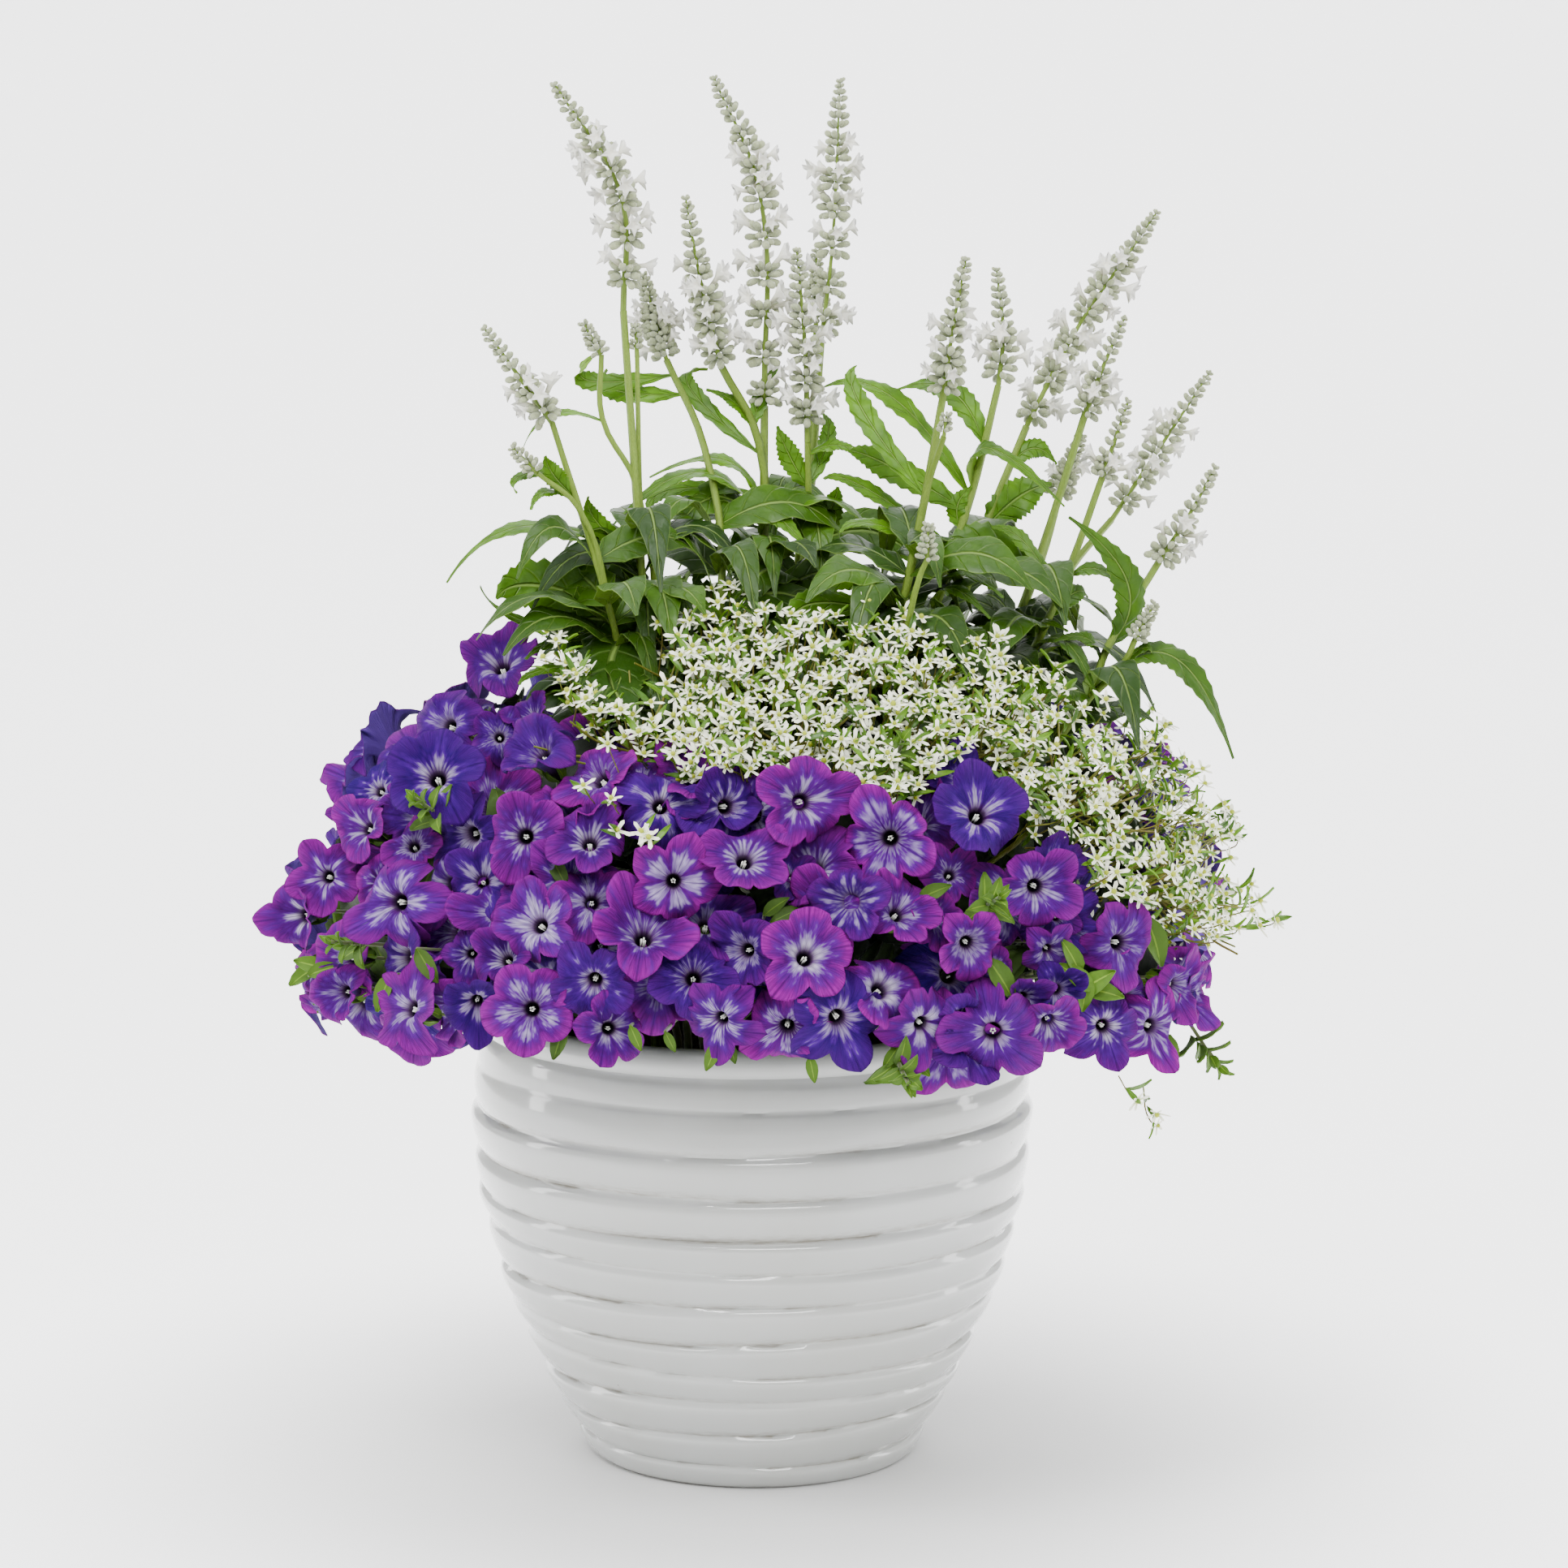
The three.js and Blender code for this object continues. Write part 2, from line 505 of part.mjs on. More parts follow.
const FINISHES = {
  glaze: { color: 0xd3d5d4, roughness: 0.15 },
  soil: { color: 0x2a211a, roughness: 1 },
  petunia: { color: 0x4b1f9c, roughness: 0.6 },
  petuniaLeaf: { color: 0x7fa83a, roughness: 0.6 },
  euphorbia: { color: 0xf1f4e6, roughness: 0.7 },
  salviaGreen: { color: 0x3f6a2c, roughness: 0.5 },
  salviaSpike: { color: 0xc9d0c0, roughness: 0.8 },
};

function boxesMeet(a, b) {
  const [one, two] = [a.boundingBox(), b.boundingBox()];
  return [0, 1, 2].every((k) => one.min[k] < two.max[k] && two.min[k] < one.max[k]);
}

function largestBody(solid) {
  return solid.decompose().reduce((a, b) => (b.volume() > a.volume() ? b : a));
}

function addMesh(name, solid, finish) {
  const { vertProperties, triVerts } = solid.getMesh();
  const geometry = new THREE.BufferGeometry();
  geometry.setAttribute('position', new THREE.BufferAttribute(vertProperties, 3));
  geometry.setIndex(new THREE.BufferAttribute(triVerts, 1));
  geometry.computeVertexNormals();
  const material = new THREE.MeshStandardMaterial({ ...FINISHES[finish], flatShading: true });
  const mesh = new THREE.Mesh(geometry, material);
  mesh.name = name;
  planting.add(mesh);
}

// One node of plant: its shapes fused, bent clear of what stands there already.
function addPlant(name, shapes, finish) {
  let body = wasm.Manifold.union(shapes.map((shape) => shape(0)));
  for (const room of placed) {
    if (boxesMeet(body, room)) body = body.subtract(room);
  }
  body = largestBody(body.simplify(0.12));
  placed.push(wasm.Manifold.union(shapes.map((shape) => shape(CLEARANCE))));
  addMesh(name, body, finish);
}

// ---- The pot ------------------------------------------------------------------------

function crestRadius(height) {
  const above = POT_OUTLINE.findIndex(([level]) => level >= height);
  const [[low, lowRadius], [high, highRadius]] = POT_OUTLINE.slice(Math.max(above - 1, 0)).slice(0, 2);
  return THREE.MathUtils.mapLinear(height, low, high, lowRadius, highRadius);
}

// Ribs between grooves, each fullest above its middle.
function potOutside() {
  const levels = [0, ...POT_GROOVES, RIM_GROOVE];
  const profile = [[0, 0], [crestRadius(0) - 1.5, 0]];
  levels.slice(0, -1).forEach((low, k) => {
    const high = levels[k + 1];
    const crest = low + CREST_SHARE * (high - low);
    profile.push([crestRadius(crest), crest], [crestRadius(high) - GROOVE_DEPTH, high]);
  });
  return profile;
}

function potRim() {
  const radius = crestRadius(RIM_GROOVE);
  return [[radius + 1, 273], [radius + 1, 281], [radius - 3.5, RIM_TOP], [radius - 11, RIM_TOP - 1],
    [radius - 16, 281]];
}

const INSIDE_LEVELS = [SOIL_TOP, 130, 50, POT_FLOOR];
const insideRadius = (level) => crestRadius(level) - GROOVE_DEPTH - POT_WALL;

function turned(profile, sides) {
  return solidOfGeometry(new THREE.LatheGeometry(
    profile.map(([radius, height]) => new THREE.Vector2(radius, height)),
    sides,
  ).rotateX(Math.PI / 2));
}

function addPot() {
  const inside = INSIDE_LEVELS.map((level) => [insideRadius(level), level]);
  let pot = turned([...potOutside(), ...potRim(), ...inside, [0, POT_FLOOR]], POT_SIDES);
  for (let k = 0; k < 3; k += 1) {
    const drain = new THREE.CylinderGeometry(DRAIN_RADIUS, DRAIN_RADIUS, 3 * POT_FLOOR, 10);
    const middle = onAxisAt(90 + 120 * k, DRAIN_CIRCLE, 0);
    drain.rotateX(Math.PI / 2).translate(middle.x, middle.y, middle.z);
    pot = pot.subtract(solidOfGeometry(drain));
  }
  addMesh('pot', pot, 'glaze');
  const [outer, inner] = [crestRadius(RIM_GROOVE) + 8, insideRadius(SOIL_TOP) - 1];
  placed.push(turned([[inner, -1], [outer, -1], [outer, RIM_TOP + 1], [inner, RIM_TOP + 1],
    [inner, -1]], POT_SIDES));
}

// The soil fills the pot to a hand's breadth of the rim, with a plain hole for each stem.
function addSoil() {
  const inside = INSIDE_LEVELS.map((level) => [insideRadius(level) - CLEARANCE, level]);
  const bottom = [inside.at(-1)[0], POT_FLOOR + CLEARANCE];
  let soil = turned([[0, SOIL_TOP], ...inside.slice(0, -1), bottom, [0, POT_FLOOR + CLEARANCE]],
    POT_SIDES);
  for (const room of placed.slice(1)) {
    if (boxesMeet(soil, room)) soil = soil.subtract(room);
  }
  addMesh('soil', largestBody(soil), 'soil');
}

// ---- Salvia -------------------------------------------------------------------------

// The nearest point of a plant's stems, so that a leaf grows out of one.
function nearestOnStems(lines, place) {
  const nearest = new THREE.Vector3();
  let best = null;
  for (const line of lines) {
    for (let k = 0; k < line.length - 1; k += 1) {
      new THREE.Line3(line[k], line[k + 1]).closestPointToPoint(place, true, nearest);
      const gap = nearest.distanceTo(place);
      if (best === null || gap < best.gap) best = { gap, place: nearest.clone() };
    }
  }
  return best.place;
}

function leafPlaces(lines, [baseColumn, baseRow, column, row, tipColumn, tipRow, , forward]) {
  const behind = (level) => nearestOnStems(lines, seenAt([...level, 0])).y;
  const depth = behind([baseColumn, baseRow]);
  const base = nearestOnStems(lines, seenAt([baseColumn, baseRow, depth]));
  const middle = seenAt([column, row, base.y - forward / 2]);
  return [base, middle, seenAt([tipColumn, tipRow, base.y - forward])];
}

function leafShape(lines, row) {
  const places = leafPlaces(lines, row);
  const width = (row[6] * places[1].distanceTo(EYE)) / FOCAL_PIXELS;
  const stations = places[0].distanceTo(places[2]) > SHORTEST_BIG_LEAF ? 3 : 2;
  return (grow) => blade(places, width, row[8], stations, grow);
}

function backLeafShape(line, { turn, height, reach }) {
  const base = nearestOnStems([line], point(0, 0, height));
  const outward = onAxisAt(turn, 1, 0);
  const middle = base.clone().addScaledVector(outward, reach / 2).addScaledVector(UP, 22);
  const tip = base.clone().addScaledVector(outward, reach).addScaledVector(UP, -8);
  return (grow) => blade([base, middle, tip], BACK_LEAF_WIDTH, 0, 2, grow);
}

function addSalvia(plant) {
  const foot = point(...plant.foot, ROOT_BOTTOM);
  const branches = [...plant.stems, ...plant.buds];
  const fork = (k) => point(...plant.foot, plant.crown - FORK_SPACING * k);
  const shapes = [(grow) => stem([foot, fork(-0.5)], 4, 4, grow)];
  const lines = [[foot, fork(0)]];
  branches.forEach(({ spike: tipDown, stem: down }, k) => {
    const line = [fork(k), ...down.map(seenAt).reverse(), seenAt(tipDown.at(-1))];
    lines.push(line);
    shapes.push((grow) => stem(line, SALVIA_STEM, SALVIA_STEM * 0.8, grow));
  });
  for (const { spike: tipDown, broad } of plant.buds) {
    const places = tipDown.map(seenAt).reverse();
    places[0].addScaledVector(UP, -BUD_OVERLAP);
    shapes.push((grow) => spike(places, broad, grow));
  }
  LEAVES[plant.name].forEach((row) => shapes.push(leafShape(lines, row)));
  BACK_LEAVES.forEach((row, k) => shapes.push(backLeafShape(lines[1 + (k % 3)], row)));
  addPlant(`salvia_${plant.name}`, shapes, 'salviaGreen');
}

function addSpikes() {
  let count = 0;
  for (const plant of PLANTS) {
    for (const { spike: tipDown, broad } of plant.stems) {
      count += 1;
      const places = tipDown.map(seenAt).reverse();
      const name = `salvia_spike_${String(count).padStart(2, '0')}`;
      addPlant(name, [(grow) => spike(places, broad, grow)], 'salviaSpike');
    }
  }
}

// ---- Petunias -----------------------------------------------------------------------

function rootOf(place, distance) {
  const turn = THREE.MathUtils.radToDeg(Math.atan2(place.y, place.x));
  return [onAxisAt(turn, distance, ROOT_BOTTOM), onAxisAt(turn, distance, SOIL_CLEAR)];
}

function faceOf(at, axis, turn) {
  const [across, upward] = squareTo(axis);
  return { at, axis, across, upward, turn };
}

// A bloom seen in the photograph: on the mound, turned from its skin towards the eye.
function frontBloom([column, row, radiusPixels, proud, leanRight, leanUp]) {
  const place = onMound(column, row);
  const outward = moundOutward(place);
  const at = place.addScaledVector(outward, proud);
  const axis = outward.clone().addScaledVector(TOWARDS_EYE, 0.9)
    .add(point(leanRight, 0, leanUp)).normalize();
  const radius = (radiusPixels * at.distanceTo(EYE)) / FOCAL_PIXELS;
  return { frame: faceOf(at, axis, draw() * 2 * Math.PI), radius };
}

function backBloom(turn, height) {
  const high = (height - MOUND_MIDDLE) / moundSize(height);
  const spread = Math.sqrt(1 - high ** 2);
  const round = onAxisAt(turn, spread, 0);
  const place = point(round.x * MOUND_WIDE, round.y * MOUND_DEEP, height);
  const axis = moundOutward(place).addScaledVector(UP, 0.25).normalize();
  const at = place.addScaledVector(axis, (draw() - 0.5) * 16);
  return { frame: faceOf(at, axis, draw() * 2 * Math.PI), radius: BACK_BLOOM_RADIUS };
}

function backSprays() {
  const [first, last] = BACK_TURN;
  const part = (last - first) / BACK_SPRAYS;
  return Array.from({ length: BACK_SPRAYS }, (_, k) => BACK_ROWS.flatMap(
    ({ height, blooms }) => Array.from({ length: blooms }, (__, j) => backBloom(
      first + part * (k + (j + 0.5) / blooms),
      height + (draw() - 0.5) * 12,
    )),
  ));
}

function addSpray(name, blooms) {
  const middle = blooms.reduce((sum, { frame }) => sum.add(frame.at), point(0, 0, 0))
    .multiplyScalar(1 / blooms.length);
  const heart = point(0, 0, MOUND_MIDDLE + 20);
  const branching = between(heart, middle, BRANCHING_SHARE);
  const distance = middle.z > 380 ? INNER_ROOTS : OUTER_ROOTS;
  const path = [...rootOf(middle, distance), branching];
  const shapes = [(grow) => stem(path, SPRAY_STEM, SPRAY_STEM, grow)];
  const down = path[1].clone().sub(branching).normalize();
  blooms.forEach(({ frame, radius }, k) => {
    const tail = branching.clone().addScaledVector(down, TAIL_SPACING * (k + 0.3));
    shapes.push((grow) => bloom(frame, radius, tail, grow));
  });
  addPlant(name, shapes, 'petunia');
}

function addPetunias() {
  const sprays = [...FRONT_SPRAYS.map((rows) => rows.map(frontBloom)), ...backSprays()];
  sprays.forEach((blooms, k) => {
    addSpray(`petunia_spray_${String(k + 1).padStart(2, '0')}`, blooms);
  });
}

// A shoot tip: a stem with pairs of small leaves, crossing as they climb.
function addShoot(name, [column, row, leanRight, leanUp]) {
  const place = onMound(column, row);
  const axis = moundOutward(place).addScaledVector(TOWARDS_EYE, 0.5)
    .add(point(leanRight, 0, leanUp)).normalize();
  const tip = place.clone().addScaledVector(axis, SHOOT_STANDS_PROUD);
  const inner = place.clone().addScaledVector(moundOutward(place), -45);
  inner.z = Math.max(inner.z, RIM_TOP + 22);
  const path = [...rootOf(place, SHOOT_ROOTS), inner, tip];
  const shapes = [(grow) => stem(path, 2, 1.4, grow)];
  const climb = tip.clone().sub(inner).normalize();
  const [across, upward] = squareTo(climb);
  for (let k = 0; k < 5; k += 1) {
    const angle = k * 1.3 + draw();
    const outward = across.clone().multiplyScalar(Math.cos(angle))
      .addScaledVector(upward, Math.sin(angle));
    const base = tip.clone().addScaledVector(climb, -2 - 5 * (k % 3));
    const middle = base.clone().addScaledVector(outward, 11).addScaledVector(climb, 7);
    const end = base.clone().addScaledVector(outward, 23).addScaledVector(climb, 5);
    shapes.push((grow) => blade([base, middle, end], 11, 0.6, 2, grow));
  }
  addPlant(name, shapes, 'petuniaLeaf');
}

// ---- Euphorbia ----------------------------------------------------------------------

// Two steps of a six-sided lattice, as places in the plane.
function latticePlace(first, second) {
  const across = FLORET_SPACING * (first + second / 2);
  return new THREE.Vector2(across, FLORET_SPACING * second * Math.sqrt(0.75));
}

// A patch of froth: six-armed stars on a lattice over the mound's skin. The arms of
// neighbours meet, the pits between them are deep, and all of it runs back to a heart.
function patch(frame, seed, grow) {
  drawState = seed;
  const vertices = [];
  const known = new Map();
  const vertexAt = (place, height) => {
    const key = `${place.x.toFixed(2)},${place.y.toFixed(2)}`;
    if (!known.has(key)) {
      known.set(key, vertices.length);
      const outward = (place.length() / PATCH_REACH) ** 2;
      vertices.push({ place, height: height * (1 - outward) - PATCH_SAG * outward });
    }
    return known.get(key);
  };
  const triangles = [];
  const edges = new Map();
  const addTriangle = (corners) => {
    triangles.push(corners);
    corners.forEach((corner, k) => {
      const [from, to] = [corner, corners[(k + 1) % 3]];
      if (!edges.delete(`${to},${from}`)) edges.set(`${from},${to}`, [from, to]);
    });
  };
  const lattice = [];
  for (let first = -FLORET_RINGS; first <= FLORET_RINGS; first += 1) {
    for (let second = -FLORET_RINGS; second <= FLORET_RINGS; second += 1) {
      lattice.push([[first, second], [first + 1, second], [first, second + 1]]);
      lattice.push([[first + 1, second], [first + 1, second + 1], [first, second + 1]]);
    }
  }
  const inPatch = ([first, second]) => (
    Math.max(Math.abs(first), Math.abs(second), Math.abs(first + second)) <= FLORET_RINGS);
  for (const corners of lattice.filter((cell) => cell.every(inPatch))) {
    const places = corners.map(([first, second]) => latticePlace(first, second));
    const middle = places.reduce((sum, place) => sum.clone().add(place)).divideScalar(3);
    const pit = vertexAt(middle, FLORET_PIT);
    const stars = places.map((place) => vertexAt(place, FLORET_RISE + draw() * 3));
    stars.forEach((star, k) => addTriangle([star, stars[(k + 1) % 3], pit]));
  }
  const rim = new Set([...edges.values()].flat());
  for (const [from, to] of edges.values()) triangles.push([to, from, vertices.length]);
  const positions = vertices.map(({ place, height }, k) => inFace(
    frame,
    place.length() + (rim.has(k) ? 5 * grow : 0),
    place.angle(),
    height + (rim.has(k) ? 3.4 : 1.5) * grow,
  ));
  return solidOf([...positions, inFace(frame, 0, 0, -PATCH_HEART - 2 * grow)], triangles);
}

function patchShape(place) {
  const axis = moundOutward(place);
  const [across, upward] = squareTo(axis);
  const seed = Math.floor(draw() * 1e6);
  return (grow) => patch({ at: place, axis, across, upward }, seed, grow);
}

function addTuft(name, patches) {
  const shapes = patches.map(patchShape);
  const path = rootOf(patches[0], TUFT_ROOTS);
  for (const place of patches) {
    path.push(place.clone().addScaledVector(moundOutward(place), -PATCH_HEART * 0.5));
  }
  addPlant(name, [(grow) => stem(path, TUFT_STEM, TUFT_STEM, grow), ...shapes], 'euphorbia');
}

function backTuftPatches() {
  return BACK_TUFT.map(([turn, height]) => {
    const spread = Math.sqrt(1 - ((height - MOUND_MIDDLE) / MOUND_UP) ** 2);
    const round = onAxisAt(turn, spread, 0);
    return point(round.x * MOUND_WIDE, round.y * MOUND_DEEP, height);
  });
}

function addEuphorbia() {
  const front = FRONT_TUFTS.map((tuft) => tuft.map(([column, row]) => {
    const place = onMound(column, row);
    return place.addScaledVector(moundOutward(place), EUPHORBIA_STANDS_PROUD);
  }));
  [...front, backTuftPatches()].forEach((patches, k) => addTuft(`euphorbia_tuft_${k + 1}`, patches));
}

// ---- The whole ----------------------------------------------------------------------

addPot();
PLANTS.forEach(addSalvia);
addSpikes();
SHOOTS.forEach((row, k) => addShoot(`petunia_shoot_${k + 1}`, row));
addPetunias();
addEuphorbia();
addSoil();

export default planting;
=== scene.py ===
# A planted patio pot: violet petunias round the sides, a white euphorbia froth in the
# middle and on the right, and tall white salvia spikes above, in a ribbed glazed pot.
# Metres, +Z up. The origin is the middle of the pot's foot.
import math
import random

import bpy
from mathutils import Matrix, Vector, noise
from mathutils.geometry import interpolate_bezier, intersect_point_line


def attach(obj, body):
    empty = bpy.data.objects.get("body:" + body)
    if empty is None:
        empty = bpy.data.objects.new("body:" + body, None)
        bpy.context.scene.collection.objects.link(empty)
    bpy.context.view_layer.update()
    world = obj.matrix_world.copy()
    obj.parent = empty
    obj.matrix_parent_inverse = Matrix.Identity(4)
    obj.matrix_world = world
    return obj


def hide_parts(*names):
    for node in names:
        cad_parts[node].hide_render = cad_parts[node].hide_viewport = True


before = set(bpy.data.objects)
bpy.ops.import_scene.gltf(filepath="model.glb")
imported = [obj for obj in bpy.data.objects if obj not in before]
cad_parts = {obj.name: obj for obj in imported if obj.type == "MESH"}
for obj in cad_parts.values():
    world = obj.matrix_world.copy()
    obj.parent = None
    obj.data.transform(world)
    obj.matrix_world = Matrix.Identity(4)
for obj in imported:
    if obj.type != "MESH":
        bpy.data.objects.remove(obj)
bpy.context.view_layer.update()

# ---- The view -----------------------------------------------------------------------
# The eye stands three metres in front, as high as the spikes' tips, and looks down a
# little. Its lens is long, so hardly any of the planting's top shows.
EYE = Vector((0.020, -3.030, 0.885))
EYE_PITCH = math.radians(8.7)
FOCAL_PIXELS = 6093
FRAME_PIXELS = 1932
SENSOR = 36.0


def added(label, primitive, **settings):
    """A new object, alone selected and with a name of its own."""
    bpy.ops.object.select_all(action="DESELECT")
    primitive(**settings)
    bpy.context.object.name = label
    return bpy.context.object


tipped = (math.pi / 2 - EYE_PITCH, 0, 0)
view = added("view", bpy.ops.object.camera_add, location=EYE, rotation=tipped)
view.data.sensor_width = SENSOR
view.data.lens = SENSOR * FOCAL_PIXELS / FRAME_PIXELS
bpy.context.scene.camera = view


# ---- The studio ---------------------------------------------------------------------
# A sweep of pale paper, the floor in front and a wall behind, under a broad light above,
# with a tall light box at each side that shows as a white strip in the pot's glaze.
def linear(code):
    """A hex colour, as it looks on a screen, for a shader."""
    shares = [int(code[k : k + 2], 16) / 255 for k in (1, 3, 5)]
    curve = [c / 12.92 if c <= 0.04045 else ((c + 0.055) / 1.055) ** 2.4 for c in shares]
    return (*curve, 1.0)


def add_node(material, kind, inputs, **settings):
    """One node. An input that is given a socket is linked to it, any other is set."""
    added = material.node_tree.nodes.new(kind)
    for setting, value in settings.items():
        setattr(added, setting, value)
    for key, value in inputs.items():
        if isinstance(value, bpy.types.NodeSocket):
            material.node_tree.links.new(value, added.inputs[key])
        else:
            added.inputs[key].default_value = value
    return added


def new_surface(label, **sockets):
    """A material with its shader's plain values set, and that shader."""
    material = bpy.data.materials.new(label)
    material.use_nodes = True
    surface = material.node_tree.nodes["Principled BSDF"]
    for socket, value in sockets.items():
        surface.inputs[socket.replace("_", " ")].default_value = value
    return material, surface


def dress(surface, colour, relief):
    """Leads a colour and a relief into a material's shader."""
    surface.id_data.links.new(colour, surface.inputs["Base Color"])
    surface.id_data.links.new(relief, surface.inputs["Normal"])


SWEEP_SIZE = 12.0
SWEEP_CURVE = 2.5
sweep = added("sweep", bpy.ops.mesh.primitive_plane_add, size=SWEEP_SIZE)
for corner in sweep.data.vertices:
    corner.select = corner.co.y > 0
bpy.ops.object.mode_set(mode="EDIT")
bpy.ops.mesh.extrude_region_move(TRANSFORM_OT_translate={"value": (0, 0, SWEEP_SIZE / 2)})
bpy.ops.mesh.select_all(action="DESELECT")
bpy.ops.object.mode_set(mode="OBJECT")
for corner in sweep.data.vertices:
    corner.select = corner.co.y > 0 and corner.co.z < 0.1
bpy.ops.object.mode_set(mode="EDIT")
bpy.ops.mesh.bevel(offset=SWEEP_CURVE, segments=24, affect="EDGES")
bpy.ops.object.mode_set(mode="OBJECT")
bpy.ops.object.shade_smooth()

# Translucent white paper that glows, painted light as on a light table lit from behind: its far
# part glows and the part in front of the pot does not, so that the front light alone shapes the
# pot. Round the pot's foot the glow fades, a painted contact shadow.
paper, paper_shader = new_surface(
    "lit_paper", Roughness=0.9, Base_Color=linear("#e9e9e8"), Emission_Color=linear("#fdfdff")
)
place = add_node(paper, "ShaderNodeTexCoord", {})
spot = add_node(paper, "ShaderNodeSeparateXYZ", {0: place.outputs["Object"]})
backlit = add_node(paper, "ShaderNodeMapRange", {
    0: spot.outputs[1], 1: -0.9, 2: -0.30, 3: 0.0, 4: 2.2,
}, interpolation_type="SMOOTHSTEP")
aside = add_node(paper, "ShaderNodeMath", {0: spot.outputs[0]}, operation="ABSOLUTE")
lit_strip = add_node(paper, "ShaderNodeMapRange", {
    0: aside.outputs[0], 1: 1.55, 2: 2.4, 3: 1.0, 4: 0.0,
}, interpolation_type="SMOOTHSTEP")
away = add_node(paper, "ShaderNodeVectorMath", {0: place.outputs["Object"]}, operation="LENGTH")
# Painted contact shadow: the paper's glow fades out near the pot's foot.
painted_foot_shadow = add_node(paper, "ShaderNodeMapRange", {
    0: away.outputs["Value"], 1: 0.12, 2: 0.60, 3: 0.03, 4: 1.0,
}, interpolation_type="SMOOTHSTEP")
lit = add_node(paper, "ShaderNodeMath", {
    0: backlit.outputs[0], 1: lit_strip.outputs[0],
}, operation="MULTIPLY")
lit = add_node(paper, "ShaderNodeMath", {
    0: lit.outputs[0], 1: painted_foot_shadow.outputs[0],
}, operation="MULTIPLY")
paper.node_tree.links.new(lit.outputs[0], paper_shader.inputs["Emission Strength"])
sweep.data.materials.append(paper)

LIGHTS = {
    "light_above": {"at": (-0.9, -1.5, 2.9), "size": (1.0, 1.0), "power": 80},
    "light_left": {"at": (-2.3, 0.2, 1.0), "size": (0.4, 2.4), "power": 26},
    "light_right": {"at": (2.3, 0.3, 1.0), "size": (0.4, 2.4), "power": 26},
    "light_front": {"at": (0.5, -2.7, 2.3), "size": (2.0, 0.6), "power": 72},
}
AIMED_AT = Vector((0, 0, 0.35))
AIR_LIGHT = 0.22
for label, light in LIGHTS.items():
    aim = (AIMED_AT - Vector(light["at"])).to_track_quat("-Z", "Y").to_euler()
    lamp = added(label, bpy.ops.object.light_add, type="AREA", location=light["at"], rotation=aim)
    lamp.data.shape = "RECTANGLE"
    lamp.data.size, lamp.data.size_y = light["size"]
    lamp.data.energy = light["power"]
air = bpy.context.scene.world or bpy.data.worlds.new("studio_air")
bpy.context.scene.world = air
air.use_nodes = True
glow = air.node_tree.nodes["Background"]
glow.inputs["Color"].default_value = linear("#fbfcff")
glow.inputs["Strength"].default_value = AIR_LIGHT

# ---- The pot ------------------------------------------------------------------------
# One piece of thrown stoneware with a narrow foot, finger ribs and a rolled rim, dipped
# in a pale glossy glaze, with shade painted in a warm clay brown on each rib's underside by its
# groove.
POT_OUTLINE = (
    (0.0, 0.104), (0.011, 0.108), (0.050, 0.129), (0.111, 0.1565), (0.168, 0.1715),
    (0.220, 0.176), (0.269, 0.1695),
)
POT_GROOVES = (
    0.017, 0.0383, 0.0587, 0.081, 0.104, 0.125, 0.1485, 0.172, 0.197, 0.223, 0.2486,
)
# Fingers throw no two grooves alike: each wanders up and down so many times round the pot,
# by so much, and fades in and out by a share of its depth.
GROOVE_DEPTH = 0.0060
GROOVE_WANDER = ((1, 0.0022, 1.7), (2, 0.0013, 2.3), (6, 0.0004, 0.9))
GROOVE_FADE = 0.20
# A rib's crest lies above its middle. Below it the rib swells slowly, above it fast.
RIB_CREST = 0.70
SWELL_BELOW = 0.62
SWELL_ABOVE = 0.50
RIM_GROOVE = 0.269
TOP_GROOVES = 0.35
RIM_TOP = 0.287
POT_WALL = 0.012
POT_FLOOR = 0.015
# The rolled rim and the wall under it, as the distance out from the neck, and the height.
RIM_ROLL = (
    (-0.0022, 0.2702), (-0.0005, 0.2716), (0.0006, 0.2735), (0.0013, 0.2765), (0.001, 0.280),
    (-0.0007, 0.2834), (-0.0035, 0.2860), (-0.0070, RIM_TOP), (-0.0105, 0.2861),
    (-0.0135, 0.2836), (-0.0152, 0.280), (-0.016, 0.275),
)
INSIDE_HEIGHTS = (0.262, 0.22, 0.17, 0.13, 0.09, 0.05, 0.03)
POT_SIDES = 176
RING_SPACING = 0.0018
DRAIN_HOLES = 3
DRAIN_RADIUS = 0.007
DRAIN_CIRCLE = 0.055


def crest_radius(height):
    """The pot's outside at a height, over the crests of its ribs."""
    for (low, low_radius), (high, high_radius) in zip(POT_OUTLINE, POT_OUTLINE[1:]):
        if height <= high:
            break
    return low_radius + (high_radius - low_radius) * (height - low) / (high - low)


def turned(label, profile, sides):
    """A closed round body: a ring is added, drawn on ring by ring, and closed flat."""
    radius, height = profile[0]
    piece = added(
        label, bpy.ops.mesh.primitive_circle_add,
        vertices=sides, radius=radius, location=(0, 0, height), fill_type="NGON",
    )
    bpy.ops.object.transform_apply(location=True)
    bpy.ops.object.mode_set(mode="EDIT")
    for next_radius, next_height in profile[1:]:
        rise = (0, 0, next_height - height)
        bpy.ops.mesh.extrude_region_move(TRANSFORM_OT_translate={"value": rise})
        growth = next_radius / radius
        bpy.ops.transform.resize(
            value=(growth, growth, 1), center_override=(0, 0, next_height)
        )
        radius, height = next_radius, next_height
    bpy.ops.mesh.select_all(action="SELECT")
    bpy.ops.mesh.normals_make_consistent(inside=False)
    bpy.ops.object.mode_set(mode="OBJECT")
    return piece


